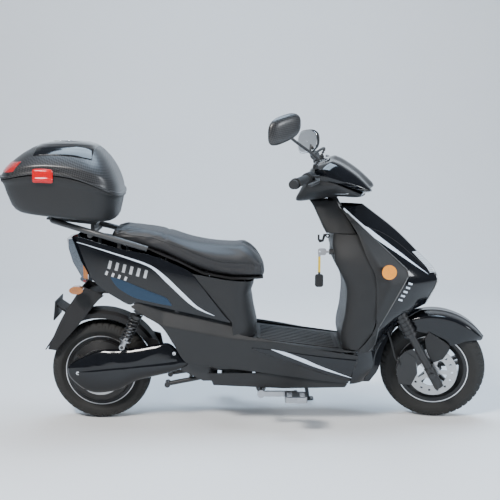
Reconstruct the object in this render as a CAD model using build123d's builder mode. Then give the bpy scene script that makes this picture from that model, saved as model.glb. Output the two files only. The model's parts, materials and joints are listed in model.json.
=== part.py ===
from build123d import *
from math import atan2, cos, degrees, hypot, pi, radians, sin, sqrt
import os

os.makedirs("parts", exist_ok=True)

# ---------------------------------------------------------------------------
# Driving sizes, mm. +X is forward, +Y is the rider's left, +Z is up, and the
# origin is on the ground under the middle of the scooter.
# ---------------------------------------------------------------------------
wheelbase = 1300.0
axle_middle = 68.0
rake = 29.0
fork_offset = 28.0
parked_steer = -11.0

front_tyre_radius = 203.0
front_tyre_width = 80.0
front_crown = 36.0
rear_tyre_radius = 195.0
rear_tyre_width = 90.0
rear_crown = 40.0
rim_radius = 138.0
bead_radius = 127.0
tube_radius = 13.0
tube_wall = 2.5
rail_y = 118.0
skin = 4.0

fork_y = 90.0
fork_leg_radius = 15.0
fork_outer_radius = 25.0
stem_radius = 17.0
head_tube_radius = 27.0
axle_radius = 6.0
rear_axle_radius = 7.0
pivot_radius = 8.0
disc_thickness = 4.0
front_disc_radius = 95.0
rear_disc_radius = 90.0
motor_radius = 125.0
arm_inner_y = 84.0
arm_thickness = 16.0
shock_y = 122.0

bar_radius = 11.0
grip_radius = 16.5
grip_inner_y = 215.0
bar_half = 344.0
bar_end_gap = 9.0
grip_outer_y = bar_half - bar_end_gap

box_length = 448.0
box_width = 410.0
box_wall = 4.0

crank_length = 129.0
crank_y = 178.0
pedal_length = 76.0

running = 0.08
gap = 0.5

# ---------------------------------------------------------------------------
# Derived places
# ---------------------------------------------------------------------------
front_axle_x = axle_middle + wheelbase / 2
rear_axle_x = axle_middle - wheelbase / 2
front_shift = front_axle_x - 718.0
rear_shift = rear_axle_x + 582.0
rake_sin = sin(radians(rake))
rake_cos = cos(radians(rake))
steer_sin = sin(radians(-parked_steer))
steer_cos = cos(radians(parked_steer))
lean_sin = steer_sin * rake_sin
lean_cos = sqrt(1 - lean_sin**2)
front_axle_z = front_tyre_radius * lean_cos + front_crown / 2 * lean_sin
front_axle_z += fork_offset * (1 - steer_cos) * rake_sin
rear_axle_z = rear_tyre_radius
front_lift = front_axle_z - 203.0
rear_lift = rear_axle_z - 195.0

# the steering axis runs fork_offset behind the front axle and leans back
head_from_axle = 812.0
head_x = front_axle_x - fork_offset * rake_cos - head_from_axle * rake_sin
head_z = front_axle_z - fork_offset * rake_sin + head_from_axle * rake_cos
steer_axis = Axis((head_x, 0, head_z), (-rake_sin, 0, rake_cos))
steer_top = Plane(origin=(head_x, 0, head_z), x_dir=(rake_cos, 0, rake_sin), z_dir=(-rake_sin, 0, rake_cos))
steer_side = Plane(origin=(head_x, 0, head_z), x_dir=(rake_cos, 0, rake_sin), z_dir=(0, -1, 0))
axle_w = -head_from_axle
crown_low = axle_w + 300.0
crown_high = crown_low + 20.0
fork_seal = axle_w + 172.0
swing_x = rear_axle_x + 342.0
swing_z = 235.0
shock_low_x = rear_axle_x + 95.0
shock_low_z = 312.0
shock_top_x = rear_axle_x + 159.0
shock_top_z = 452.0
side_pivot = (215.0, 134.0, 206.0)
side_foot = (242.0, 206.0, 0.0)
crank_x = 42.0
crank_z = 145.0


def front(points):
    """Carry (x, z) points drawn around the front axle along with that axle."""
    return [(x + front_shift, z) for x, z in points]


def rear(points):
    """Carry (x, z) points drawn around the rear axle along with that axle."""
    return [(x + rear_shift, z) for x, z in points]


def side(y):
    """The XZ plane at a given y; its sketches extrude towards -Y."""
    return Plane.XZ.offset(-y)


def mirrored(points):
    """Close a half plan (x, y > 0) with its mirror image."""
    return points + [(x, -y) for x, y in reversed(points) if y > 0]


def write(name, shape, steered=False):
    """Label a finished piece and write it, turned with the parked steering when it rides on it."""
    piece = shape.rotate(steer_axis, parked_steer) if steered else shape
    piece.label = name
    export_step(piece, f"parts/{name}.step")
    print(name, round(piece.volume / 1000, 1))


# ---------------------------------------------------------------------------
# Frame
# ---------------------------------------------------------------------------
head_low = -470.0
head_high = -270.0
rail_z = 232.0
rail_front_x = front_axle_x - 323.0
rail_points = [
    (rail_front_x, rail_y, rail_z),
    (swing_x + 100, rail_y, rail_z),
    (swing_x + 25, rail_y, 330),
    (swing_x - 90, rail_y, 560),
    (rear_axle_x - 18, 70, 612),
]
bracket_y = 96.0
bracket_thickness = 6.0
stand_x = swing_x + 92.0
stand_z = 186.0
stand_pin_radius = 6.0

with BuildPart() as main_frame:
    for direction in (1, -1):
        with BuildLine() as rail_path:
            FilletPolyline(*[(x, y * direction, z) for x, y, z in rail_points], radius=55)
        with BuildSketch(Plane(origin=rail_path.line @ 0, z_dir=rail_path.line % 0)):
            Circle(tube_radius)
            Circle(tube_radius - tube_wall, mode=Mode.SUBTRACT)
        sweep(path=rail_path.line)
    with BuildLine() as spine_path:
        FilletPolyline(
            (head_x + 0.4848 * 360, 0, head_z - 0.8746 * 360),
            (front_axle_x - 285, 0, 340),
            (rail_front_x, 0, rail_z - 4),
            radius=60,
        )
    with BuildSketch(Plane(origin=spine_path.line @ 0, z_dir=spine_path.line % 0)):
        Circle(18)
    sweep(path=spine_path.line)
    for x, z, reach, radius in (
        (rail_front_x, rail_z, rail_y, 13),
        (swing_x - 104, 580, rail_y - 4, 10),
        (rear_axle_x - 18, 612, 70, 13),
    ):
        with BuildSketch(side(reach)):
            with Locations((x, z)):
                Circle(radius)
        extrude(amount=2 * reach)
    for direction in (1, -1):
        outer = (bracket_y + bracket_thickness) if direction > 0 else -bracket_y
        # plate that carries the swingarm pivot and the centre stand
        with BuildSketch(side(outer)):
            Polygon(
                (swing_x - 24, 214), (swing_x + 60, 172), (swing_x + 112, 172), (swing_x + 118, 232),
                (swing_x + 60, 300), (swing_x + 30, 330), (swing_x - 24, 258), align=None,
            )
        extrude(amount=bracket_thickness)
        # web from that plate out to the rail
        with BuildSketch(side(outer + (rail_y - bracket_y if direction > 0 else -bracket_thickness))):
            Polygon(
                (swing_x + 100, 226), (swing_x + 118, 226), (swing_x + 60, 296), (swing_x + 42, 300), align=None
            )
        extrude(amount=rail_y - bracket_y - 6)
        # hanger for the top of the shock absorber
        hanger = 108.0 if direction > 0 else -102.0
        with BuildSketch(side(hanger)):
            Polygon(
                (shock_top_x - 34, 590), (shock_top_x - 13, 440), (shock_top_x + 13, 440),
                (shock_top_x + 40, 574), align=None,
            )
        extrude(amount=6)
        with BuildSketch(side(shock_y + 14 if direction > 0 else -102)):
            with Locations((shock_top_x, shock_top_z)):
                Circle(6)
        extrude(amount=shock_y + 14 - 102)
    with BuildSketch(side(bracket_y)):
        with Locations((swing_x, swing_z)):
            Circle(pivot_radius)
    extrude(amount=2 * bracket_y)
    with BuildSketch(side(bracket_y)):
        with Locations((stand_x, stand_z)):
            Circle(stand_pin_radius)
    extrude(amount=2 * bracket_y)
    # lug for the side stand, under the left rail
    with BuildSketch(side(side_pivot[1] - 6)):
        with Locations((side_pivot[0], side_pivot[2] + 4)):
            Rectangle(48, 38)
    extrude(amount=8)
    with BuildSketch(side(side_pivot[1] + 10)):
        with Locations((side_pivot[0], side_pivot[2])):
            Circle(stand_pin_radius)
    extrude(amount=18)
    # shell that carries the pedal crank, hung from the frame by two plates
    with BuildSketch(side(100)):
        with Locations((crank_x, crank_z)):
            Circle(19)
    extrude(amount=200)
    for y in (88, -80):
        with BuildSketch(side(y)):
            Polygon((crank_x - 16, crank_z), (crank_x + 16, crank_z), (crank_x + 22, 203), (crank_x - 22, 203), align=None)
        extrude(amount=8)
    with BuildSketch(side(rail_y)):
        with Locations((crank_x, 203)):
            Rectangle(44, 12)
    extrude(amount=2 * rail_y)
    for y in (rail_y, -rail_y + 10):
        with BuildSketch(side(y)):
            with Locations((crank_x, 213)):
                Rectangle(44, 24)
        extrude(amount=10)
    with BuildSketch(side(110)):
        with Locations((crank_x, crank_z)):
            Circle(pivot_radius + running)
    extrude(amount=220, mode=Mode.SUBTRACT)
    # head tube
    with BuildSketch(steer_top.offset(head_low)):
        Circle(head_tube_radius)
    extrude(amount=head_high - head_low)
    with BuildSketch(steer_top.offset(head_low)):
        Circle(stem_radius + running)
    extrude(amount=head_high - head_low, mode=Mode.SUBTRACT)
write("main_frame", main_frame.part)

# ---------------------------------------------------------------------------
# Battery, controller and under-seat bucket
# ---------------------------------------------------------------------------
battery_floor = 213.0
battery_height = 74.0
with BuildPart() as battery_pack:
    with BuildSketch(Plane.XY.offset(battery_floor)):
        with Locations((rail_front_x - 285, 0)):
            Rectangle(410, 184)
    extrude(amount=battery_height)
    fillet(battery_pack.edges().filter_by(Axis.Z), 10)
write("battery_pack", battery_pack.part)

with BuildPart() as motor_controller:
    with BuildSketch(Plane.XY.offset(535)):
        with Locations((swing_x - 172, 0)):
            Rectangle(118, 116)
    extrude(amount=32)
    with BuildSketch(Plane.XY.offset(529)):
        with GridLocations(0, 14, 1, 8):
            with Locations((swing_x - 172, 0)):
                Rectangle(110, 4)
    extrude(amount=6)
write("motor_controller", motor_controller.part)

bucket_outline = [(-325, 400), (-28, 400), (-18, 420), (-18, 545), (-170, 545), (-322, 625), (-332, 625), (-332, 420)]
with BuildPart() as seat_bucket:
    with BuildSketch(side(100)) as bucket_side:
        Polygon(*bucket_outline, align=None)
    extrude(amount=200)
    with BuildSketch(side(100 - 3)):
        Polygon(
            (-323, 403), (-29, 403), (-21, 421), (-21, 560), (-170, 560), (-322, 640), (-329, 640), (-329, 421),
            align=None,
        )
    extrude(amount=200 - 6, mode=Mode.SUBTRACT)
    # hinge ears for the seat at the front rim
    for y in (40, -28):
        with BuildSketch(side(y)):
            Polygon((-18, 520), (-10, 520), (12, 552), (12, 568), (-4, 568), (-18, 545), align=None)
        extrude(amount=12)
    with BuildSketch(side(40)):
        with Locations((4, 560)):
            Circle(3)
    extrude(amount=80)
write("seat_bucket", seat_bucket.part)

# ---------------------------------------------------------------------------
# Floor
# ---------------------------------------------------------------------------
floor_rear = (-60.0, 354.0)
floor_front = (front_axle_x - 336.0, 299.0)
floor_half_width = 150.0
board = 5.0
mat_thickness = 3.0
floor_slope = degrees(atan2(floor_rear[1] - floor_front[1], floor_front[0] - floor_rear[0]))
floor_length = hypot(floor_front[0] - floor_rear[0], floor_rear[1] - floor_front[1])
floor_plane = Plane(
    origin=(floor_rear[0], 0, floor_rear[1]),
    x_dir=(cos(radians(floor_slope)), 0, -sin(radians(floor_slope))),
    z_dir=(sin(radians(floor_slope)), 0, cos(radians(floor_slope))),
)
mat_start = 86.0
mat_length = floor_length - 130.0

with BuildPart() as footboard:
    with BuildSketch(floor_plane):
        with Locations((floor_length / 2, 0)):
            RectangleRounded(floor_length, 2 * floor_half_width, 20)
    extrude(amount=-board)
write("footboard", footboard.part)

with BuildPart() as footboard_mat:
    with BuildSketch(floor_plane):
        with Locations((mat_start + mat_length / 2, 0)):
            RectangleRounded(mat_length, 240, 24)
    extrude(amount=mat_thickness)
    with BuildSketch(floor_plane.offset(mat_thickness)):
        with Locations((mat_start + mat_length / 2, 0)):
            with GridLocations(0, 24, 1, 9):
                SlotOverall(mat_length - 30, 8)
    extrude(amount=1.5)
write("footboard_mat", footboard_mat.part)

belly_half = 138.0
with BuildPart() as belly_pan:
    with BuildSketch(side(belly_half)):
        Polygon(
            (-158, 212), (-140, 166), (130, 153), *front([(362, 157), (370, 168), (370, 215)]), align=None
        )
    extrude(amount=2 * belly_half)
    with BuildSketch(side(belly_half - skin)):
        Polygon(
            (-160, 230), (-154, 212), (-137, 170), (130, 157), *front([(359, 161), (366, 170), (366, 240)]),
            align=None,
        )
    extrude(amount=2 * (belly_half - skin), mode=Mode.SUBTRACT)
    # passages for the crank shell and the stands
    with BuildSketch(Plane.XY.offset(120)):
        with Locations((crank_x, 0)):
            Rectangle(64, 216)
        with Locations((swing_x + 86, 0)):
            Rectangle(80, 232)
    extrude(amount=96, mode=Mode.SUBTRACT)
    with BuildSketch(side(180)):
        with Locations((side_pivot[0], side_pivot[2])):
            Rectangle(84, 84)
    extrude(amount=180 - 112, mode=Mode.SUBTRACT)
write("belly_pan", belly_pan.part)

# ---------------------------------------------------------------------------
# Side panels: a side outline cut out of a ring that follows the plan
# ---------------------------------------------------------------------------
sill_plan = [(rear_axle_x + 130, 144.0), (rear_axle_x + 380, 158.0), (0.0, 168.0)]
sill_plan += [(front_axle_x - 420, 167.0), (front_axle_x - 300, 152.0)]
with BuildPart() as side_sills:
    with BuildSketch(Plane.XY.offset(160)):
        Polygon(*mirrored(sill_plan), align=None)
        Polygon(*mirrored([(x + (1 if x < 0 else -1), y - skin) for x, y in sill_plan]), align=None, mode=Mode.SUBTRACT)
    extrude(amount=340)
    with BuildSketch(side(200)):
        Polygon(
            *rear([(-445, 478), (-386, 480), (-237, 447)]), (-74, 406), (-30, 366), *front([(410, 283), (372, 173)]),
            *rear([(-162, 243), (-222, 246), (-250, 263), (-330, 394)]), align=None,
        )
    extrude(amount=400, mode=Mode.INTERSECT)
    # lip that closes the gap to the footboard on each side
    for y in (floor_half_width + 15, -floor_half_width - gap):
        with BuildSketch(side(y)):
            Polygon(
                (-26, 352), (-30, 358), (floor_front[0] - 12, 303), (floor_front[0] - 12, 297), align=None
            )
        extrude(amount=15 - gap)
write("side_sills", side_sills.part)

panel_plan = [(rear_axle_x - 100, 62.0), (rear_axle_x - 60, 88.0), (rear_axle_x - 10, 118.0)]
panel_plan += [(rear_axle_x + 130, 146.0), (rear_axle_x + 380, 159.0), (-60.0, 160.0)]
with BuildPart() as rear_panels:
    with BuildSketch(Plane.XY.offset(380)):
        Polygon(*mirrored(panel_plan), align=None)
        Polygon(*mirrored([(x + (2 if x < -300 else 4), y - skin) for x, y in panel_plan]), align=None, mode=Mode.SUBTRACT)
        with Locations((-60, 0)):
            Rectangle(20, 308, mode=Mode.SUBTRACT)
        with Locations((rear_axle_x - 100, 0)):
            Rectangle(20, 118, mode=Mode.SUBTRACT)
    extrude(amount=380)
    with BuildSketch(side(200)):
        Polygon(
            *rear([(-668, 724), (-651, 727), (-479, 690), (-371, 669), (-214, 605)]), (-74, 414),
            *rear([(-289, 463), (-420, 490), (-455, 480), (-511, 514), (-590, 572), (-632, 640)]), align=None,
        )
    extrude(amount=400, mode=Mode.INTERSECT)
write("rear_panels", rear_panels.part)

cover_plan = [(-240.0, 154.0), (-60.0, 154.0), (-16.0, 132.0), (10.0, 96.0), (22.0, 60.0)]
with BuildPart() as underseat_cover:
    with BuildSketch(Plane.XY.offset(340)):
        Polygon(*mirrored(cover_plan), align=None)
        Polygon(*mirrored([(x - 4, y - skin) for x, y in cover_plan]), align=None, mode=Mode.SUBTRACT)
        with Locations((-242, 0)):
            Rectangle(20, 308, mode=Mode.SUBTRACT)
    extrude(amount=280)
    with BuildSketch(side(200)):
        Polygon(
            (-205, 592), (-100, 566), (12, 546), (0, 517), (22, 393), (22, 347), (-56, 357), (-66, 412), align=None
        )
    extrude(amount=400, mode=Mode.INTERSECT)
write("underseat_cover", underseat_cover.part)

# ---------------------------------------------------------------------------
# Tail
# ---------------------------------------------------------------------------
lamp_plan = [(rear_axle_x - 118, 44.0), (rear_axle_x - 106, 74.0), (rear_axle_x - 60, 100.0), (rear_axle_x - 22, 114.0)]
with BuildPart() as tail_lamp:
    with BuildSketch(Plane.XY.offset(560)):
        Polygon(*mirrored(lamp_plan), align=None)
        Polygon(*mirrored([(x + 14, y - 12) for x, y in lamp_plan]), align=None, mode=Mode.SUBTRACT)
        with Locations((rear_axle_x - 10, 0)):
            Rectangle(40, 300, mode=Mode.SUBTRACT)
    extrude(amount=180)
    with BuildSketch(side(200)):
        Polygon(*rear([(-700, 718), (-672, 722), (-638, 640), (-597, 570), (-634, 574), (-672, 632)]), align=None)
    extrude(amount=400, mode=Mode.INTERSECT)
    # indicators on their stubs
    for direction in (1, -1):
        with BuildSketch(side(104 if direction > 0 else -58)):
            with Locations((rear_axle_x - 73, 532)):
                Circle(6)
        extrude(amount=46)
        with BuildSketch(side(132 if direction > 0 else -104)):
            with Locations((rear_axle_x - 73, 532)):
                Ellipse(26, 15)
        extrude(amount=28)
write("tail_lamps", tail_lamp.part)

with BuildPart() as rear_mudguard:
    with BuildSketch(side(62)):
        with BuildLine():
            Polyline(*rear([(-345, 392), (-362, 455), (-415, 492), (-520, 508), (-618, 512), (-652, 497), (-792, 285)]))
        trace(line_width=4)
    extrude(amount=124)
    # plate bracket with its reflector mount
    with BuildSketch(side(52)):
        Polygon(*rear([(-700, 432), (-745, 462), (-748, 456), (-704, 422)]), align=None)
    extrude(amount=104)
    with BuildSketch(side(72)):
        Polygon(*rear([(-744, 478), (-748, 478), (-756, 404), (-751, 404)]), align=None)
    extrude(amount=144)
write("rear_mudguard", rear_mudguard.part)

# ---------------------------------------------------------------------------
# Luggage rack and top box
# ---------------------------------------------------------------------------
rack_radius = 11.0
rack_line = [(-383, 135, 691), (-470, 135, 718), (-560, 128, 744), (-700, 100, 781), (-752, 60, 790)]
with BuildPart() as luggage_rack:
    for direction in (1, -1):
        with BuildLine() as rack_path:
            FilletPolyline(
                *[(x + rear_shift, y * direction, z) for x, y, z in rack_line], (rear_axle_x - 170, 0, 790), radius=32
            )
        with BuildSketch(Plane(origin=rack_path.line @ 0, z_dir=rack_path.line % 0)):
            Circle(rack_radius)
        sweep(path=rack_path.line)
        with BuildSketch(Plane.XY.offset(640)):
            with Locations((rear_axle_x + 92, direction * 118), (rear_axle_x - 16, direction * 100)):
                Circle(7)
        extrude(amount=78)
    with BuildSketch(side(124)):
        with Locations((rear_axle_x - 16, 741)):
            Circle(10)
    extrude(amount=248)
    # deck that the top box is bolted to
    with BuildSketch(side(70)):
        Polygon(*rear([(-770, 794), (-582, 773), (-582, 779), (-770, 800)]), align=None)
    extrude(amount=140)
    with BuildSketch(side(60)):
        with Locations((rear_axle_x - 16, 758)):
            Rectangle(14, 34)
    extrude(amount=120)
write("luggage_rack", luggage_rack.part)

box_tilt = 9.0
box_x = rear_axle_x - 128.0
box_z = 925.0
box_plane = Plane(
    origin=(box_x, 0, box_z),
    x_dir=(cos(radians(box_tilt)), 0, -sin(radians(box_tilt))),
    z_dir=(sin(radians(box_tilt)), 0, cos(radians(box_tilt))),
)
# height above the rim, share of the length, share of the width, shift forward
base_sections = [(-gap, 1.0, 1.0, 0.0), (-60.0, 0.93, 0.93, 6.0), (-108.0, 0.80, 0.74, 12.0)]
lid_sections = [(gap, 1.0, 1.0, 0.0), (50.0, 0.93, 0.93, 8.0), (96.0, 0.76, 0.80, 16.0), (128.0, 0.44, 0.58, 28.0)]
with BuildPart() as topbox_base:
    for height, long_share, wide_share, shift in base_sections:
        with BuildSketch(box_plane.offset(height)):
            with Locations((shift, 0)):
                RectangleRounded(box_length * long_share, box_width * wide_share, 90 * wide_share)
    loft(ruled=True)
    for height, long_share, wide_share, shift in base_sections:
        inner_height = height + (2 if height > -100 else box_wall)
        with BuildSketch(box_plane.offset(inner_height)):
            with Locations((shift, 0)):
                RectangleRounded(
                    box_length * long_share - 2 * box_wall, box_width * wide_share - 2 * box_wall,
                    90 * wide_share - box_wall,
                )
    loft(ruled=True, mode=Mode.SUBTRACT)
    # hinge ears in front
    for y in (66, -54):
        with BuildSketch(Plane(origin=(box_x, y, box_z), x_dir=box_plane.x_dir, z_dir=(0, -1, 0))):
            Polygon((214, -50), (222, -50), (238, -8), (238, 6), (227, 6), (227, -2), (214, -8), align=None)
        extrude(amount=12)
    with BuildSketch(Plane(origin=(box_x, 66, box_z), x_dir=box_plane.x_dir, z_dir=(0, -1, 0))):
        with Locations((232, 0)):
            Circle(3)
    extrude(amount=132)
write("topbox_base", topbox_base.part)

with BuildPart() as topbox_lid:
    for height, long_share, wide_share, shift in lid_sections:
        with BuildSketch(box_plane.offset(height)):
            with Locations((shift, 0)):
                RectangleRounded(box_length * long_share, box_width * wide_share, 90 * wide_share)
    loft(ruled=True)
    for height, long_share, wide_share, shift in lid_sections:
        inner_height = height - (2 if height < 100 else box_wall)
        with BuildSketch(box_plane.offset(inner_height)):
            with Locations((shift, 0)):
                RectangleRounded(
                    box_length * long_share - 2 * box_wall, box_width * wide_share - 2 * box_wall,
                    90 * wide_share - box_wall,
                )
    loft(ruled=True, mode=Mode.SUBTRACT)
    # hinge knuckle between the ears of the base
    with BuildSketch(Plane(origin=(box_x, 50, box_z), x_dir=box_plane.x_dir, z_dir=(0, -1, 0))):
        Polygon(
            (218, 4), (226, 5), (229, 6), (235, 6), (238, 3), (238, -3), (235, -6), (230, -6), (227, -4), (225.2, 0.4),
            (218, 0.6), align=None,
        )
        with Locations((232, 0)):
            Circle(3 + running, mode=Mode.SUBTRACT)
    extrude(amount=100)
write("topbox_lid", topbox_lid.part)

latch_x = -38.0
latch_pin_radius = 3.2
for name, direction in (("latch_left", 1), ("latch_right", -1)):
    with BuildPart() as latch:
        with BuildSketch(
            Plane(origin=box_plane.origin, x_dir=(0, direction, 0), z_dir=box_plane.x_dir).offset(latch_x - 36)
        ):
            if direction > 0:
                Polygon((206, -30), (212, -30), (213, 34), (208, 38), (206, 34), align=None)
            else:
                Polygon((206, 30), (212, 30), (213, -34), (208, -38), (206, -34), align=None)
            # rounded lower edge that the latch turns on
            with Locations((209, -30 * direction)):
                Circle(latch_pin_radius)
        extrude(amount=72)
    write(name, latch.part)

# ---------------------------------------------------------------------------
# Front body: hollow shells through flat sections at several heights
# ---------------------------------------------------------------------------
# height, rear x, nose x, half width, nose half width
apron_sections = [
    (845.0, 340.0, 437.0, 62.0, 26.0), (750.0, 402.0, 560.0, 112.0, 34.0), (650.0, 442.0, 662.0, 150.0, 44.0),
    (600.0, 466.0, 710.0, 160.0, 52.0), (562.0, 472.0, 728.0, 164.0, 58.0), (500.0, 474.0, 704.0, 163.0, 60.0),
    (447.0, 474.0, 668.0, 161.0, 62.0), (400.0, 474.0, 600.0, 158.0, 66.0), (340.0, 440.0, 536.0, 153.0, 76.0),
    (300.0, 408.0, 512.0, 150.0, 90.0), (207.0, 388.0, 484.0, 147.0, 110.0), (172.0, 379.0, 458.0, 145.0, 110.0),
]
wheel_sweep = 262.0
wheel_sweep_top = -554.0
arch_half = 124.0
with BuildPart() as front_apron:
    for height, rear_x, nose_x, half, nose_half in apron_sections:
        with BuildSketch(Plane.XY.offset(height)):
            shoulder = rear_x + 0.45 * (nose_x - rear_x)
            shoulder_y = half - 0.22 * (half - nose_half)
            plan = [(rear_x, half), (shoulder, shoulder_y), (nose_x, nose_half)]
            Polygon(*mirrored(front(plan)), align=None)
    loft(ruled=True)
    for height, rear_x, nose_x, half, nose_half in apron_sections:
        reach = 2.0 if height == apron_sections[0][0] else (-2.0 if height == apron_sections[-1][0] else 0.0)
        with BuildSketch(Plane.XY.offset(height + reach)):
            shoulder = rear_x + 0.45 * (nose_x - rear_x)
            shoulder_y = half - 0.22 * (half - nose_half)
            plan = [(rear_x - 20, half - skin), (shoulder, shoulder_y - 1.1 * skin), (nose_x - 1.5 * skin, nose_half - skin)]
            Polygon(*mirrored(front(plan)), align=None)
    loft(ruled=True, mode=Mode.SUBTRACT)
    # wheel arch: room for the wheel, mudguard and fork over the whole steering travel
    with BuildSketch(steer_top.offset(-1000)):
        Circle(wheel_sweep)
        for y in (arch_half + 100, -arch_half - 100):
            with Locations((-wheel_sweep / 2 - 40, y)):
                Rectangle(wheel_sweep, 200, mode=Mode.SUBTRACT)
    extrude(amount=1000 + wheel_sweep_top, mode=Mode.SUBTRACT)
    # room for the fork crown as it turns
    with BuildSketch(steer_top.offset(-600)):
        Circle(125)
    extrude(amount=600 + crown_high + 8, mode=Mode.SUBTRACT)
    # window of the headlight and the light bar
    with BuildSketch(side(56)):
        Polygon(*front([(644, 626), (640, 700), (800, 640), (800, 480), (702, 480), (690, 497), (705, 545)]), align=None)
    extrude(amount=112, mode=Mode.SUBTRACT)
write("front_apron", front_apron.part)

lamp_half = 55.0
with BuildPart() as headlight:
    with BuildSketch(side(lamp_half)):
        Polygon(
            *front([(664, 641), (712, 596), (727, 566), (730, 540), (703, 494), (695, 502), (714, 542), (710, 564)]),
            *front([(698, 590), (652, 632)]), align=None,
        )
    extrude(amount=2 * lamp_half)
write("headlight", headlight.part)

# height, back x, side x, half width
shield_sections = [
    (742.0, 316.0, 401.0, 106.0), (697.0, 310.0, 418.0, 128.0), (659.0, 313.0, 434.0, 142.0),
    (546.0, 362.0, 470.0, 158.0), (447.0, 360.0, 470.0, 156.0), (348.0, 346.0, 441.0, 150.0), (312.0, 352.0, 412.0, 146.0),
]
column_sections = [
    (746.0, 288.0, 396.0, 100.0), (800.0, 262.0, 364.0, 72.0), (843.0, 241.0, 334.0, 56.0), (865.0, 230.0, 326.0, 46.0),
]
hook_x = front_axle_x - 418.0
hook_z = 722.0
lock_y = -74.0
lock_z = 671.0
lock_radius = 11.0
with BuildPart() as leg_shield:
    for height, back_x, side_x, half in shield_sections:
        with BuildSketch(Plane.XY.offset(height)):
            plan = [(back_x, half - 46), (back_x + 22, half - 8), (side_x - 2, half - 1)]
            Polygon(*mirrored(front(plan)), align=None)
    loft(ruled=True)
    for height, back_x, side_x, half in shield_sections:
        reach = 2.0 if height == shield_sections[0][0] else (-2.0 if height == shield_sections[-1][0] else 0.0)
        with BuildSketch(Plane.XY.offset(height + reach)):
            plan = [(back_x + skin, half - 46 - skin), (back_x + 24, half - 8 - skin), (side_x + 20, half - skin)]
            Polygon(*mirrored(front(plan)), align=None)
    loft(ruled=True, mode=Mode.SUBTRACT)
    with BuildSketch(Plane.YZ.offset(front_axle_x - 430)):
        with Locations((lock_y, lock_z)):
            Circle(lock_radius + 0.3)
    extrude(amount=60, mode=Mode.SUBTRACT)
    # cover of the steering column above the shield
    for height, back_x, side_x, half in column_sections:
        with BuildSketch(Plane.XY.offset(height)):
            Polygon(*mirrored(front([(back_x, half - 26), (back_x + 14, half - 6), (side_x, half)])), align=None)
    loft(ruled=True)
    for height, back_x, side_x, half in column_sections:
        reach = 2.0 if height == 870.0 else (-2.0 if height == 746.0 else 0.0)
        with BuildSketch(Plane.XY.offset(height + reach)):
            plan = [(back_x + skin, half - 26 - skin), (back_x + 16, half - 6 - skin), (side_x + 30, half - skin)]
            Polygon(*mirrored(front(plan)), align=None)
    loft(ruled=True, mode=Mode.SUBTRACT)
    # ears that carry the bag hook
    for y in (16, -6):
        with BuildSketch(side(y)):
            Polygon(*front([(292, 714), (315, 708), (315, 736), (292, 730)]), align=None)
        extrude(amount=10)
    with BuildSketch(side(16)):
        with Locations((hook_x, hook_z)):
            Circle(4)
    extrude(amount=32)
write("leg_shield", leg_shield.part)

reflector_radius = 27.0
with BuildPart() as side_reflectors:
    for y in (180, -172):
        with BuildSketch(side(y)):
            with Locations((front_axle_x - 202, 610)):
                Circle(reflector_radius)
        extrude(amount=8)
write("side_reflectors", side_reflectors.part)

lock_back = front_axle_x - 718.0 + 300.0
with BuildPart() as ignition_lock:
    with BuildSketch(Plane.YZ.offset(lock_back)):
        with Locations((lock_y, lock_z)):
            Circle(lock_radius)
    extrude(amount=44)
    with BuildSketch(Plane.YZ.offset(lock_back)):
        with Locations((lock_y, lock_z)):
            Circle(4 + running)
    extrude(amount=26, mode=Mode.SUBTRACT)
write("ignition_lock", ignition_lock.part)

with BuildPart() as key:
    with BuildSketch(Plane.YZ.offset(lock_back - 10)):
        with Locations((lock_y, lock_z)):
            Circle(4)
    extrude(amount=32)
    with BuildSketch(Plane.XZ.offset(-lock_y - 1.5)):
        with Locations((lock_back - 26, lock_z)):
            RectangleRounded(32, 26, 8)
            with Locations((-9, 0)):
                Circle(3.5, mode=Mode.SUBTRACT)
    extrude(amount=3)
    # strap and fob hanging from the key
    with BuildSketch(Plane.XZ.offset(-lock_y - 5)):
        with Locations((lock_back - 36, lock_z - 50)):
            RectangleRounded(9, 96, 3)
        with Locations((lock_back - 36, lock_z - 112)):
            RectangleRounded(32, 50, 9)
    extrude(amount=3)
write("key", key.part)

with BuildPart() as bag_hook:
    with BuildSketch(side(5)):
        with Locations((hook_x, hook_z)):
            Circle(8)
        Polygon(
            *front([(292, 722), (284, 700), (268, 696), (262, 706), (262, 726), (269, 726), (269, 708), (279, 707)]),
            *front([(284, 728), (300, 730)]), align=None,
        )
        with Locations((hook_x, hook_z)):
            Circle(4 + running, mode=Mode.SUBTRACT)
    extrude(amount=10)
write("bag_hook", bag_hook.part)

# ---------------------------------------------------------------------------
# Steering, modelled straight ahead and turned as it is written
# ---------------------------------------------------------------------------
bar_x = head_x - 42.0
bar_z = head_z + 75.5
bar_bend_y = 130.0
bar_out = Vector(-46.0, 212.0, 6.0).normalized()


def on_bar(y):
    """Point of the handlebar's outer straight at a given |y|, for the left side."""
    along = (y - bar_bend_y) / bar_out.Y
    return (bar_x + bar_out.X * along, y, bar_z + bar_out.Z * along)


def bar_plane(y, direction):
    """Plane across the handlebar at |y|, its normal pointing outwards."""
    x, _, z = on_bar(y)
    return Plane(origin=(x, y * direction, z), z_dir=(bar_out.X, bar_out.Y * direction, bar_out.Z))


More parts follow.
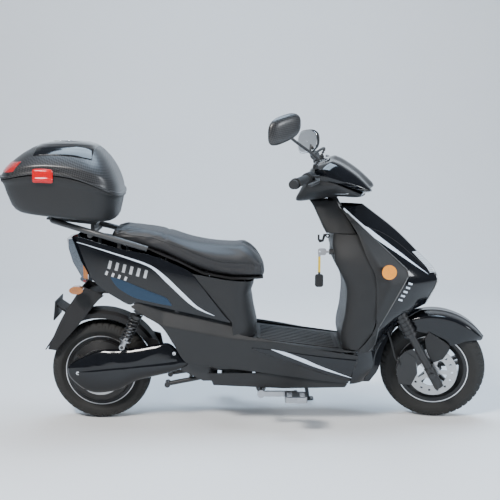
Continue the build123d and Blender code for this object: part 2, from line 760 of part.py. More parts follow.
with BuildPart() as steering_stem:
    with BuildSketch(steer_top.offset(crown_low)):
        Circle(stem_radius)
    extrude(amount=-crown_low + 66)
    with BuildSketch(steer_top.offset(crown_low)):
        with Locations((fork_offset / 2, 0)):
            RectangleRounded(74, 2 * fork_y, 20)
        with Locations((fork_offset, fork_y), (fork_offset, -fork_y)):
            Circle(fork_outer_radius + 4)
    extrude(amount=crown_high - crown_low)
    with BuildSketch(steer_top.offset(52)):
        Rectangle(36, 34)
    extrude(amount=30)
    with BuildSketch(side(40)):
        with Locations((bar_x, bar_z)):
            Circle(bar_radius + 0.02)
    extrude(amount=80, mode=Mode.SUBTRACT)
    # outer tubes of the fork with their ribbed gaiters
    with BuildSketch(steer_top.offset(fork_seal)):
        with Locations((fork_offset, fork_y), (fork_offset, -fork_y)):
            Circle(fork_outer_radius - 3)
    extrude(amount=crown_low - fork_seal)
    for step in range(7):
        with BuildSketch(steer_top.offset(fork_seal + 6 + 17 * step)):
            with Locations((fork_offset, fork_y), (fork_offset, -fork_y)):
                Circle(fork_outer_radius)
        extrude(amount=9)
    with BuildSketch(steer_top.offset(fork_seal)):
        with Locations((fork_offset, fork_y), (fork_offset, -fork_y)):
            Circle(fork_leg_radius + running)
    extrude(amount=crown_low - fork_seal, mode=Mode.SUBTRACT)
write("steering_stem", steering_stem.part, True)

with BuildPart() as handlebar:
    with BuildSketch(side(bar_bend_y)):
        with Locations((bar_x, bar_z)):
            Circle(bar_radius)
    extrude(amount=2 * bar_bend_y)
    for direction in (1, -1):
        with Locations((bar_x, direction * bar_bend_y, bar_z)):
            Sphere(bar_radius)
        with BuildSketch(bar_plane(bar_bend_y, direction)):
            Circle(bar_radius)
        extrude(amount=(bar_half - bar_bend_y) / bar_out.Y)
        with BuildSketch(bar_plane(bar_half, direction)):
            Circle(grip_radius)
        extrude(amount=14)
write("handlebar", handlebar.part, True)

grip_length = (grip_outer_y - grip_inner_y) / bar_out.Y
for name, direction in (("grip_left", 1), ("throttle_grip", -1)):
    with BuildPart() as grip:
        with BuildSketch(bar_plane(grip_inner_y, direction)):
            Circle(grip_radius)
            Circle(bar_radius + running, mode=Mode.SUBTRACT)
        extrude(amount=grip_length)
        for along in (0, grip_length - 6):
            with BuildSketch(bar_plane(grip_inner_y, direction).offset(along)):
                Circle(grip_radius + 3)
                Circle(bar_radius + running, mode=Mode.SUBTRACT)
            extrude(amount=6)
    write(name, grip.part, True)

pod_inner_y = 166.0
pod_outer_y = 210.0
pod_radius = 21.0
lever_y = 190.0
lever_arm = 30.0
lever_half = 4.5
with BuildPart() as switch_pods:
    for direction in (1, -1):
        with BuildSketch(bar_plane(pod_inner_y, direction)):
            Circle(pod_radius)
        extrude(amount=(pod_outer_y - pod_inner_y) / bar_out.Y)
        hub = bar_plane(lever_y, direction)
        reach_plane = Plane(origin=hub.origin, x_dir=hub.z_dir, z_dir=(0, 0, 1))
        for height in (lever_half + gap, -lever_half - gap - 5):
            with BuildSketch(reach_plane.offset(height)):
                with Locations((0, -direction * lever_arm / 2)):
                    Rectangle(22, lever_arm)
                with Locations((0, -direction * lever_arm)):
                    Circle(11)
            extrude(amount=5)
        with BuildSketch(reach_plane.offset(-lever_half - 3)):
            with Locations((0, -direction * lever_arm)):
                Circle(2.5)
        extrude(amount=2 * lever_half + 6)
        with BuildSketch(bar_plane(pod_inner_y, direction)):
            Circle(bar_radius + 0.05)
        extrude(amount=(pod_outer_y - pod_inner_y) / bar_out.Y, mode=Mode.SUBTRACT)
write("switch_pods", switch_pods.part, True)

lever_outline = [(-9, 36), (-4, 41), (8, 42), (60, 62), (145, 57), (152, 51), (146, 45), (66, 52), (14, 27), (0, 23), (-8, 26)]
for name, direction in (("brake_lever_left", 1), ("brake_lever_right", -1)):
    hub = bar_plane(lever_y, direction)
    reach_plane = Plane(origin=hub.origin, x_dir=hub.z_dir, z_dir=(0, 0, 1))
    with BuildPart() as lever:
        with BuildSketch(reach_plane.offset(-lever_half)):
            Polygon(*[(x, -direction * y) for x, y in lever_outline], align=None)
            with Locations((0, -direction * lever_arm)):
                Circle(2.5 + running, mode=Mode.SUBTRACT)
        extrude(amount=2 * lever_half)
    write(name, lever.part, True)

# cowls: the same seven points at five places across the handlebar
cowl_upper_sections = {
    132: [(250, 982), (290, 1000), (318, 996), (352, 972), (372, 952), (340, 952), (272, 964)],
    92: [(240, 985), (309, 1017), (342, 1008), (396, 971), (440, 927), (385, 928), (269, 958)],
    0: [(240, 985), (309, 1015), (352, 1004), (410, 966), (452, 917), (437, 894), (269, 958)],
}
cowl_lower_sections = {
    132: [(246, 979), (270, 961), (338, 949), (336, 932), (300, 922), (262, 914), (222, 928)],
    92: [(236, 982), (267, 956), (383, 926), (384, 902), (313, 900), (263, 887), (194, 881)],
    0: [(236, 982), (267, 956), (434, 891), (404, 886), (313, 881), (263, 880), (198, 880)],
}
cowl_hollow = 0.9
lens_outline = [(x - 300 + head_x, z - 900 + head_z) for x, z in ((320, 934), (378, 919), (378, 907), (320, 907))]
for name, sections, middle in (
    ("cowl_upper", cowl_upper_sections, (335, 968)),
    ("cowl_lower", cowl_lower_sections, (296, 926)),
):
    with BuildPart() as cowl:
        for y in (-132, -92, 0, 92, 132):
            with BuildSketch(side(y)):
                Polygon(*[(x - 300 + head_x, z - 900 + head_z) for x, z in sections[abs(y)]], align=None)
        loft(ruled=True)
        for y in (-132, -92, 0, 92, 132):
            with BuildSketch(side(y * 0.965)):
                Polygon(
                    *[
                        (middle[0] + (x - middle[0]) * cowl_hollow - 300 + head_x,
                         middle[1] + (z - middle[1]) * cowl_hollow - 900 + head_z)
                        for x, z in sections[abs(y)]
                    ],
                    align=None,
                )
        loft(ruled=True, mode=Mode.SUBTRACT)
        with BuildSketch(side(150)):
            with Locations((bar_x, bar_z)):
                Circle(bar_radius + 5)
        extrude(amount=300, mode=Mode.SUBTRACT)
        with BuildSketch(steer_top.offset(-60)):
            Rectangle(52, 48)
        extrude(amount=150, mode=Mode.SUBTRACT)
        # windows of the side lenses and of the lens under the nose
        for y in (140, -94):
            with BuildSketch(side(y)):
                Polygon(*lens_outline, align=None)
                offset(amount=gap)
            extrude(amount=46, mode=Mode.SUBTRACT)
        with BuildSketch(side(37)):
            with Locations((head_x + 144, head_z - 6)):
                Rectangle(20, 30)
        extrude(amount=74, mode=Mode.SUBTRACT)
    write(name, cowl.part, True)

dash_plane = Plane(origin=(head_x - 24, 0, head_z + 103.5), x_dir=(0.907, 0, 0.42), z_dir=(-0.42, 0, 0.907))
with BuildPart() as cowl_lenses:
    # dash lens, side indicator lenses and the lens under the nose
    with BuildSketch(dash_plane):
        RectangleRounded(54, 104, 12)
    extrude(amount=4)
    for y in (103, -95):
        with BuildSketch(side(y)):
            Polygon(*lens_outline, align=None)
        extrude(amount=8)
    with BuildSketch(side(36)):
        Polygon(
            *[(x - 300 + head_x, z - 900 + head_z) for x, z in ((441, 888), (449, 902), (444, 905), (437, 890))], align=None
        )
    extrude(amount=72)
write("cowl_lenses", cowl_lenses.part, True)

# ---------------------------------------------------------------------------
# Mirrors
# ---------------------------------------------------------------------------
mirror_yaw = 28.0
mirror_width = 150.0
mirror_height = 96.0
mirror_depth = 24.0
mirror_y = 292.0
stalk_radius = 5.0
mirror_base = (head_x - 38.0, 118.0, head_z + 104.0)
for name, direction, centre_x, centre_z in (("left", 1, -112.0, 145.0), ("right", -1, -132.0, 268.0)):
    centre = (head_x + centre_x, direction * mirror_y, head_z + centre_z)
    glass_normal = (-cos(radians(mirror_yaw)), -direction * sin(radians(mirror_yaw)), 0)
    glass_plane = Plane(origin=centre, x_dir=(0, 0, 1), z_dir=glass_normal)
    with BuildPart() as mirror_housing:
        with BuildSketch(glass_plane):
            RectangleRounded(mirror_height, mirror_width, 42)
        with BuildSketch(glass_plane.offset(-0.6 * mirror_depth)):
            RectangleRounded(mirror_height - 10, mirror_width - 14, 38)
        with BuildSketch(glass_plane.offset(-mirror_depth)):
            RectangleRounded(mirror_height - 44, mirror_width - 60, 24)
        loft(ruled=True)
        with BuildSketch(glass_plane.offset(-2.5)):
            RectangleRounded(mirror_height - 8, mirror_width - 8, 38)
        extrude(amount=3, mode=Mode.SUBTRACT)
        with BuildLine() as stalk_path:
            FilletPolyline(
                (mirror_base[0], direction * mirror_base[1], mirror_base[2]),
                (mirror_base[0] + 6, direction * (mirror_base[1] + 6), mirror_base[2] + 34),
                (centre[0] + 20, centre[1] - direction * 44, centre[2] - 30),
                (centre[0] + 12, centre[1] - direction * 16, centre[2] - 6),
                radius=14,
            )
        with BuildSketch(Plane(origin=stalk_path.line @ 0, z_dir=stalk_path.line % 0)):
            Circle(stalk_radius)
        sweep(path=stalk_path.line)
        with BuildSketch(Plane(origin=(mirror_base[0], direction * mirror_base[1], mirror_base[2] - 3))):
            Circle(10)
        extrude(amount=12)
        with BuildSketch(glass_plane.offset(-2.5)):
            RectangleRounded(mirror_height - 8, mirror_width - 8, 38)
        extrude(amount=30, mode=Mode.SUBTRACT)
        with BuildSketch(glass_plane.offset(-2.5)):
            RectangleRounded(mirror_height - 8, mirror_width - 8, 38)
        extrude(amount=2)
    write(f"mirror_{name}", mirror_housing.part, True)

# ---------------------------------------------------------------------------
# Fork legs, front wheel and brake
# ---------------------------------------------------------------------------
with BuildPart() as fork_legs:
    with BuildSketch(steer_top.offset(axle_w - 40)):
        with Locations((fork_offset, fork_y), (fork_offset, -fork_y)):
            Circle(fork_leg_radius)
    extrude(amount=40 + 206)
    with BuildSketch(steer_top.offset(axle_w - 58)):
        with Locations((fork_offset, fork_y), (fork_offset, -fork_y)):
            Circle(fork_leg_radius + 3)
    extrude(amount=88)
    with BuildSketch(side(fork_y + 22)):
        with Locations((front_axle_x, front_axle_z)):
            Circle(axle_radius)
    extrude(amount=2 * (fork_y + 22))
    for y in (fork_y + 26, -fork_y - 17):
        with BuildSketch(side(y)):
            with Locations((front_axle_x, front_axle_z)):
                RegularPolygon(12, 6)
        extrude(amount=9)
write("fork_legs", fork_legs.part, True)

fender_radius = 228.0
fender_half = 58.0
fender_start = 26.0
fender_sweep = 100.0
fender_plane = Plane(
    origin=(front_axle_x, 0, front_axle_z),
    x_dir=(cos(radians(fender_start)), 0, sin(radians(fender_start))),
    z_dir=(sin(radians(fender_start)), 0, -cos(radians(fender_start))),
)
with BuildPart() as front_mudguard:
    with BuildSketch(fender_plane):
        Polygon(
            (fender_radius - 26, -fender_half), (fender_radius - 8, -fender_half), (fender_radius, -fender_half + 16),
            (fender_radius, fender_half - 16), (fender_radius - 8, fender_half), (fender_radius - 26, fender_half),
            (fender_radius - 26, fender_half - 3), (fender_radius - 10, fender_half - 3),
            (fender_radius - 3, fender_half - 18), (fender_radius - 3, -fender_half + 18),
            (fender_radius - 10, -fender_half + 3), (fender_radius - 26, -fender_half + 3), align=None,
        )
    revolve(axis=Axis((front_axle_x, 0, front_axle_z), (0, -1, 0)), revolution_arc=fender_sweep)
    # plates that bolt the mudguard to the fork legs
    for direction in (1, -1):
        with BuildSketch(side(74 if direction > 0 else -70)):
            Polygon(*front([(678, 346), (700, 372), (786, 309), (757, 262), (722, 240), (700, 262)]), align=None)
        extrude(amount=4)
        with BuildSketch(side(70 if direction > 0 else -fender_half - gap)):
            with Locations((front_axle_x - 32, front_axle_z + 170), (front_axle_x + 52, front_axle_z + 206 - 84)):
                Circle(5)
        extrude(amount=70 - fender_half - gap)
write("front_mudguard", front_mudguard.part, True)



def wheel_plane(x, z):
    """Plane through an axle whose sketch coordinates are (y, radius)."""
    return Plane(origin=(x, 0, z), x_dir=(0, 1, 0), z_dir=(1, 0, 0))


def rim_profile(inner):
    """Closed (y, radius) profile of a rim well with its two flanges."""
    return [
        (-38, rim_radius), (-34, rim_radius), (-31, bead_radius), (-16, bead_radius), (-12, inner + 7),
        (12, inner + 7), (16, bead_radius), (31, bead_radius), (34, rim_radius), (38, rim_radius),
        (34, bead_radius - 6), (18, inner), (-18, inner), (-34, bead_radius - 6),
    ]


def tyre_profile(radius, width, crown):
    """Closed (y, radius) profile of a tyre seated in that rim, with a flat crown."""
    low = bead_radius + 0.3
    return [
        (-30.6, low), (-33.6, rim_radius + 1), (-width / 2 + 2, rim_radius + 16), (-width / 2, radius - 34),
        (-width / 2 + 7, radius - 14), (-crown / 2, radius), (crown / 2, radius), (width / 2 - 7, radius - 14),
        (width / 2, radius - 34), (width / 2 - 2, rim_radius + 16), (33.6, rim_radius + 1), (30.6, low),
        (22, low), (22, rim_radius + 10), (-22, rim_radius + 10), (-22, low),
    ]


spoke_count = 5
hub_radius = 31.0
hub_half = 44.0
front_axis = Axis((front_axle_x, 0, front_axle_z), (0, 1, 0))
rear_axis = Axis((rear_axle_x, 0, rear_axle_z), (0, 1, 0))
with BuildPart() as front_rim:
    with BuildSketch(wheel_plane(front_axle_x, front_axle_z)):
        Polygon(*rim_profile(103), align=None)
    revolve(axis=front_axis)
    with BuildSketch(side(hub_half)):
        with Locations((front_axle_x, front_axle_z)):
            Circle(hub_radius)
    extrude(amount=2 * hub_half)
    with BuildSketch(side(11)):
        with Locations((front_axle_x, front_axle_z)):
            for number in range(spoke_count):
                for lean in (-9, 9):
                    with Locations(Location((0, 0), 360 / spoke_count * number + 90 + lean)):
                        with Locations((65, -lean * 0.4)):
                            Rectangle(84, 11)
    extrude(amount=22)
    with BuildSketch(side(60)):
        with Locations((front_axle_x, front_axle_z)):
            Circle(axle_radius + running)
    extrude(amount=120, mode=Mode.SUBTRACT)
write("front_rim", front_rim.part, True)

with BuildPart() as front_tyre:
    with BuildSketch(wheel_plane(front_axle_x, front_axle_z)):
        Polygon(*tyre_profile(front_tyre_radius, front_tyre_width, front_crown), align=None)
    revolve(axis=front_axis)
write("front_tyre", front_tyre.part, True)

disc_y = 62.0
with BuildPart() as front_disc:
    with BuildSketch(side(-disc_y)):
        with Locations((front_axle_x, front_axle_z)):
            Circle(front_disc_radius)
            Circle(58, mode=Mode.SUBTRACT)
            with PolarLocations(76, 15):
                Circle(5, mode=Mode.SUBTRACT)
            with PolarLocations(40, 5):
                Rectangle(44, 16)
            Circle(30)
            Circle(axle_radius + 3, mode=Mode.SUBTRACT)
    extrude(amount=disc_thickness)
    with BuildSketch(side(-hub_half)):
        with Locations((front_axle_x, front_axle_z)):
            Circle(27)
            Circle(axle_radius + 3, mode=Mode.SUBTRACT)
    extrude(amount=disc_y - hub_half)
write("front_disc", front_disc.part, True)

caliper_y = disc_y + disc_thickness / 2
with BuildPart() as front_caliper:
    with BuildSketch(side(-caliper_y + 13)):
        Polygon(*front([(612, 286), (652, 262), (662, 200), (640, 150), (592, 150), (582, 200), (590, 262)]), align=None)
    extrude(amount=26)
    with BuildSketch(side(-disc_y + 2)):
        with Locations((front_axle_x, front_axle_z)):
            Circle(front_disc_radius + 3)
    extrude(amount=disc_thickness + 4, mode=Mode.SUBTRACT)
    with BuildSketch(side(-fork_y + 20)):
        Polygon(*front([(612, 286), (650, 262), (662, 226), (676, 240), (676, 268), (640, 296)]), align=None)
    extrude(amount=5)
write("front_caliper", front_caliper.part, True)

hose_points = [(596, 232, -84), (576, 262, -92), (566, 300, -100), (556, 338, -102), (543, 372, -100)]
with BuildPart() as front_brake_hose:
    with BuildLine() as hose_path:
        FilletPolyline(*[(x + front_shift, y, z + front_lift) for x, z, y in hose_points], radius=38)
    with BuildSketch(Plane(origin=hose_path.line @ 0, z_dir=hose_path.line % 0)):
        Circle(3.5)
    sweep(path=hose_path.line)
write("front_brake_hose", front_brake_hose.part, True)

# ---------------------------------------------------------------------------
# Rear wheel with its hub motor
# ---------------------------------------------------------------------------
motor_half = 54.0
with BuildPart() as rear_rim:
    with BuildSketch(wheel_plane(rear_axle_x, rear_axle_z)):
        Polygon(*rim_profile(114), align=None)
    revolve(axis=rear_axis)
    with BuildSketch(wheel_plane(rear_axle_x, rear_axle_z)):
        Polygon(
            (-motor_half, 0), (-motor_half, 88), (-44, motor_radius - 8), (-38, motor_radius - 4),
            (38, motor_radius - 4), (44, motor_radius - 8), (motor_half, 88), (motor_half, 0), align=None,
        )
    revolve(axis=rear_axis)
    with BuildSketch(side(46)):
        with Locations((rear_axle_x, rear_axle_z)):
            with PolarLocations(motor_radius - 14, 8):
                Circle(4)
    extrude(amount=92)
    with BuildSketch(side(80)):
        with Locations((rear_axle_x, rear_axle_z)):
            Circle(rear_axle_radius + running)
    extrude(amount=160, mode=Mode.SUBTRACT)
write("rear_rim", rear_rim.part)

with BuildPart() as rear_tyre:
    with BuildSketch(wheel_plane(rear_axle_x, rear_axle_z)):
        Polygon(*tyre_profile(rear_tyre_radius, rear_tyre_width, rear_crown), align=None)
    revolve(axis=rear_axis)
write("rear_tyre", rear_tyre.part)

rear_disc_y = 64.0
with BuildPart() as rear_disc:
    with BuildSketch(side(-rear_disc_y)):
        with Locations((rear_axle_x, rear_axle_z)):
            Circle(rear_disc_radius)
            Circle(54, mode=Mode.SUBTRACT)
            with PolarLocations(72, 15):
                Circle(5, mode=Mode.SUBTRACT)
            with PolarLocations(38, 5):
                Rectangle(40, 16)
            Circle(30)
            Circle(rear_axle_radius + 3, mode=Mode.SUBTRACT)
    extrude(amount=disc_thickness)
    with BuildSketch(side(-motor_half)):
        with Locations((rear_axle_x, rear_axle_z)):
            Circle(27)
            Circle(rear_axle_radius + 3, mode=Mode.SUBTRACT)
    extrude(amount=rear_disc_y - motor_half)
write("rear_disc", rear_disc.part)

# ---------------------------------------------------------------------------
# Swingarm and what rides on it
# ---------------------------------------------------------------------------
arm_outer_y = arm_inner_y + arm_thickness
with BuildPart() as swingarm:
    with BuildSketch(side(bracket_y - 1)):
        with Locations((swing_x, swing_z)):
            Circle(17)
    extrude(amount=2 * (bracket_y - 1))
    for direction in (1, -1):
        start = bracket_y - 1 if direction > 0 else -arm_inner_y
        with BuildSketch(side(start)):
            Polygon(
                (swing_x, swing_z + 17), (swing_x - 40, swing_z + 14), (rear_axle_x + 96, 236), (rear_axle_x, rear_axle_z + 19),
                (rear_axle_x - 19, rear_axle_z), (rear_axle_x, rear_axle_z - 19), (rear_axle_x + 60, rear_axle_z - 15),
                (swing_x - 40, swing_z - 18), (swing_x, swing_z - 17), align=None,
            )
        extrude(amount=bracket_y - 1 - arm_inner_y)
        # lug and pin for the bottom of the shock absorber
        with BuildSketch(side(start)):
            Polygon(
                (shock_low_x - 26, 222), (shock_low_x - 12, shock_low_z + 6), (shock_low_x, shock_low_z + 9),
                (shock_low_x + 12, shock_low_z + 6), (shock_low_x + 30, 230), align=None,
            )
        extrude(amount=bracket_y - 1 - arm_inner_y)
        with BuildSketch(side(shock_y + 14 if direction > 0 else -arm_inner_y)):
            with Locations((shock_low_x, shock_low_z)):
                Circle(6)
        extrude(amount=shock_y + 14 - arm_inner_y)
    with BuildSketch(side(arm_inner_y)):
        with Locations((swing_x - 62, swing_z - 2)):
            Circle(11)
    extrude(amount=2 * arm_inner_y)
    with BuildSketch(side(bracket_y)):
        with Locations((swing_x, swing_z)):
            Circle(pivot_radius + running)
    extrude(amount=2 * bracket_y, mode=Mode.SUBTRACT)
    # wheel axle with its nut
    with BuildSketch(side(bracket_y + 8)):
        with Locations((rear_axle_x, rear_axle_z)):
            Circle(rear_axle_radius)
    extrude(amount=bracket_y + 8 + 102)
    with BuildSketch(side(bracket_y + 7)):
        with Locations((rear_axle_x, rear_axle_z)):
            RegularPolygon(13, 6)
    extrude(amount=8)
write("swingarm", swingarm.part)

cover_outline = [
    (-699, 222), (-657, 256), (-574, 290), (-510, 296), (-450, 299), (-357, 314), (-309, 318), (-268, 280), (-236, 244),
    (-300, 212), (-430, 178), (-513, 138), (-584, 128), (-660, 156), (-700, 195),
]
cover_y = 103.0
cover_depth = 14.0
with BuildPart() as swingarm_cover:
    with BuildSketch(side(-cover_y)):
        Polygon(*rear(cover_outline), align=None)
    extrude(amount=cover_depth, taper=12)
    with BuildSketch(side(-cover_y + 1)):
        Polygon(*rear(cover_outline), align=None)
        offset(amount=-skin)
    extrude(amount=cover_depth - 3, taper=12, mode=Mode.SUBTRACT)
    with BuildSketch(side(-cover_y - cover_depth)):
        with Locations((rear_axle_x - 78, 206), (swing_x - 50, 282)):
            Circle(6)
    extrude(amount=3)
write("swingarm_cover", swingarm_cover.part)

with BuildPart() as rear_caliper:
    with BuildSketch(side(-54)):
        with BuildLine():
            CenterArc((rear_axle_x, rear_axle_z), 70, 142, 48)
            CenterArc((rear_axle_x, rear_axle_z), 114, 142, 48)
            Line(
                (rear_axle_x + 70 * cos(radians(142)), rear_axle_z + 70 * sin(radians(142))),
                (rear_axle_x + 114 * cos(radians(142)), rear_axle_z + 114 * sin(radians(142))),
            )
            Line(
                (rear_axle_x + 70 * cos(radians(190)), rear_axle_z + 70 * sin(radians(190))),
                (rear_axle_x + 114 * cos(radians(190)), rear_axle_z + 114 * sin(radians(190))),
            )
        make_face()
    extrude(amount=24)
    with BuildSketch(side(-rear_disc_y + 2)):
        with Locations((rear_axle_x, rear_axle_z)):
            Circle(rear_disc_radius + 3)
    extrude(amount=disc_thickness + 4, mode=Mode.SUBTRACT)
    with BuildSketch(side(-50)):
        with Locations((rear_axle_x, rear_axle_z)):
            Circle(motor_radius - 4 + 6)
            Circle(98, mode=Mode.SUBTRACT)
    extrude(amount=7, mode=Mode.SUBTRACT)
    with BuildSketch(side(-78)):
        Polygon(*rear([(-690, 214), (-640, 232), (-606, 214), (-606, 188), (-640, 180), (-682, 190)]), align=None)
    extrude(amount=5)
    with BuildSketch(side(-77)):
        with Locations((rear_axle_x, rear_axle_z)):
            Circle(rear_axle_radius + 12)
    extrude(amount=20, mode=Mode.SUBTRACT)
write("rear_caliper", rear_caliper.part)

hugger_radius = 242.0
hugger_half = 54.0
hugger_start = 22.0
hugger_sweep = 90.0
hugger_plane = Plane(
    origin=(rear_axle_x, 0, rear_axle_z),
    x_dir=(cos(radians(hugger_start)), 0, sin(radians(hugger_start))),
    z_dir=(sin(radians(hugger_start)), 0, -cos(radians(hugger_start))),
)
with BuildPart() as rear_hugger:
    with BuildSketch(hugger_plane):
        Polygon(
            (hugger_radius - 30, -hugger_half), (hugger_radius - 10, -hugger_half), (hugger_radius, -hugger_half + 14),
            (hugger_radius, hugger_half - 14), (hugger_radius - 10, hugger_half), (hugger_radius - 30, hugger_half),
            (hugger_radius - 30, hugger_half - 3), (hugger_radius - 11, hugger_half - 3),
            (hugger_radius - 3, hugger_half - 16), (hugger_radius - 3, -hugger_half + 16),
            (hugger_radius - 11, -hugger_half + 3), (hugger_radius - 30, -hugger_half + 3), align=None,
        )
    revolve(axis=Axis((rear_axle_x, 0, rear_axle_z), (0, -1, 0)), revolution_arc=hugger_sweep)
    for y in (62, -54):
        with BuildSketch(side(y)):
            Polygon(*rear([(-372, 246), (-340, 246), (-356, 322), (-388, 330)]), align=None)
        extrude(amount=8)
    for y in (arm_inner_y - gap, -62):
        with BuildSketch(side(y)):
            Polygon(*rear([(-372, 246), (-340, 246), (-344, 262), (-376, 262)]), align=None)
        extrude(amount=arm_inner_y - gap - 62)
write("rear_hugger", rear_hugger.part)

# ---------------------------------------------------------------------------
# Shock absorbers
# ---------------------------------------------------------------------------
shock_length = hypot(shock_top_x - shock_low_x, shock_top_z - shock_low_z)
shock_up = ((shock_top_x - shock_low_x) / shock_length, 0, (shock_top_z - shock_low_z) / shock_length)
coil_radius = 18.5
coil_wire = 3.5
seat_low = 32.0
seat_high = 30.0
coil_height = shock_length - seat_low - seat_high - 2 * coil_wire - 1


def shock_plane(x, z, direction, up):
    """Plane across a shock absorber at one of its eyes, normal along the shock."""
    return Plane(origin=(x, direction * shock_y, z), z_dir=(up * shock_up[0], 0, up * shock_up[2]))


with BuildPart() as shock_lowers:
    for direction in (1, -1):
        low_plane = shock_plane(shock_low_x, shock_low_z, direction, 1)
        with BuildSketch(side(direction * shock_y + 11)):
            with Locations((shock_low_x, shock_low_z)):
                Circle(11)
        extrude(amount=22)
        with BuildSketch(low_plane.offset(5)):
            Circle(12)
        extrude(amount=88)
        with BuildSketch(low_plane.offset(seat_low - 6)):
            Circle(23)
        extrude(amount=6)
        with BuildSketch(low_plane.offset(12)):
            Circle(7)
        extrude(amount=90, mode=Mode.SUBTRACT)
        with BuildSketch(side(direction * shock_y + 20)):
            with Locations((shock_low_x, shock_low_z)):
                Circle(6 + running)
        extrude(amount=40, mode=Mode.SUBTRACT)
write("shock_lowers", shock_lowers.part)

with BuildPart() as shock_uppers:
    for direction in (1, -1):
        top_plane = shock_plane(shock_top_x, shock_top_z, direction, -1)
        with BuildSketch(side(direction * shock_y + 11)):
            with Locations((shock_top_x, shock_top_z)):
                Circle(11)
        extrude(amount=22)
        with BuildSketch(top_plane.offset(5)):
            Circle(5)
        extrude(amount=shock_length - 5 - 46)
        with BuildSketch(top_plane.offset(seat_high - 12)):
            Circle(23)
        extrude(amount=12)
        with BuildSketch(side(direction * shock_y + 20)):
            with Locations((shock_top_x, shock_top_z)):
                Circle(6 + running)
        extrude(amount=40, mode=Mode.SUBTRACT)
write("shock_uppers", shock_uppers.part)

with BuildPart() as shock_springs:
    for direction in (1, -1):
        low_plane = shock_plane(shock_low_x, shock_low_z, direction, 1)
        with BuildLine() as coil_path:
            Helix(
                pitch=coil_height / 6, height=coil_height, radius=coil_radius,
                center=low_plane.offset(seat_low + coil_wire + 0.5).origin, direction=shock_up,
            )
        with BuildSketch(Plane(origin=coil_path.line @ 0, z_dir=coil_path.line % 0)):
            Circle(coil_wire)
        sweep(path=coil_path.line, is_frenet=True)
write("shock_springs", shock_springs.part)

# ---------------------------------------------------------------------------
# Seat
# ---------------------------------------------------------------------------
seat_bottom = [(-574, 738), (-480, 712), (-385, 692), (-271, 646), (-179, 599), (-70, 579), (50, 579)]
cushion_sections = {
    132: [*seat_bottom, (46, 586), (24, 610), (-40, 622), (-156, 630), (-236, 664), (-327, 708), (-474, 740), (-560, 752)],
    104: [*seat_bottom, (52, 600), (30, 640), (-30, 672), (-134, 676), (-222, 696), (-327, 732), (-460, 756), (-562, 764)],
    0: [*seat_bottom, (55, 604), (34, 662), (-13, 700), (-126, 702), (-220, 716), (-327, 746), (-456, 767), (-563, 773)],
}
# reach of the seat's back end from its hinge, inside the front of the top box
seat_hinge_at = (4.0, 560.0)
seat_reach = 563.0
with BuildPart() as seat_cushion:
    for y in (-132, -104, 0, 104, 132):
        with BuildSketch(side(y)):
            Polygon(*cushion_sections[abs(y)], align=None)
    loft(ruled=True)
    # the passenger end narrows between the grab rails
    with BuildSketch(Plane.XY.offset(540)):
        Polygon((-600, 90), (-380, 118), (-300, 140), (-600, 180), align=None)
        Polygon((-600, -90), (-380, -118), (-300, -140), (-600, -180), align=None)
        Polygon((-20, 140), (70, 140), (70, 96), align=None)
        Polygon((-20, -140), (70, -140), (70, -96), align=None)
    extrude(amount=300, mode=Mode.SUBTRACT)
    with BuildSketch(side(140)):
        with Locations(seat_hinge_at):
            Circle(seat_reach)
    extrude(amount=280, mode=Mode.INTERSECT)
write("seat_cushion", seat_cushion.part)

seat_pan = 6.0
with BuildPart() as seat_base:
    with BuildSketch(side(124)):
        Polygon(
            *seat_bottom, (50, 579 - seat_pan), (-70, 579 - seat_pan), *[(x, z - seat_pan) for x, z in reversed(seat_bottom[:5])],
            align=None,
        )
    extrude(amount=248)
    with BuildSketch(Plane.XY.offset(540)):
        Polygon((-600, 84), (-380, 112), (-300, 130), (-600, 180), align=None)
        Polygon((-600, -84), (-380, -112), (-300, -130), (-600, -180), align=None)
        Polygon((-20, 130), (70, 130), (70, 90), align=None)
        Polygon((-20, -130), (70, -130), (70, -90), align=None)
    extrude(amount=300, mode=Mode.SUBTRACT)
    with BuildSketch(side(140)):
        with Locations(seat_hinge_at):
            Circle(seat_reach)
    extrude(amount=280, mode=Mode.INTERSECT)
    with BuildSketch(side(26)):
        Polygon((-6, 574), (-6, 558), (0, 552), (8, 552), (14, 558), (14, 574), align=None)
        with Locations(seat_hinge_at):
            Circle(3 + running, mode=Mode.SUBTRACT)
    extrude(amount=52)
write("seat_base", seat_base.part)

# ---------------------------------------------------------------------------
# Stands
# ---------------------------------------------------------------------------
with BuildPart() as side_stand:
    leg = Vector(side_foot[0] - side_pivot[0], side_foot[1] - side_pivot[1] - 6, side_foot[2] + 6 - side_pivot[2])
    with BuildSketch(Plane(origin=side_pivot, z_dir=leg).offset(6)):
        Circle(8)
    extrude(amount=leg.length - 6)
    with BuildSketch(side(side_pivot[1] + 9)):
        with Locations((side_pivot[0], side_pivot[2])):
            Circle(14)
    extrude(amount=14)
    with BuildSketch(Plane.XY):
        with Locations((side_foot[0] - 4, side_foot[1])):
            RectangleRounded(56, 40, 12)
    extrude(amount=6)
    with BuildSketch(Plane.XY):
        with Locations((side_foot[0], side_foot[1] - 4)):
            Circle(12)
    extrude(amount=12)
    with BuildSketch(Plane.XY.offset(-30)):
        Rectangle(900, 900)
    extrude(amount=30, mode=Mode.SUBTRACT)
    with BuildSketch(side(side_pivot[1] + 20)):
        with Locations((side_pivot[0], side_pivot[2])):
            Circle(stand_pin_radius + running)
    extrude(amount=40, mode=Mode.SUBTRACT)
write("side_stand", side_stand.part)

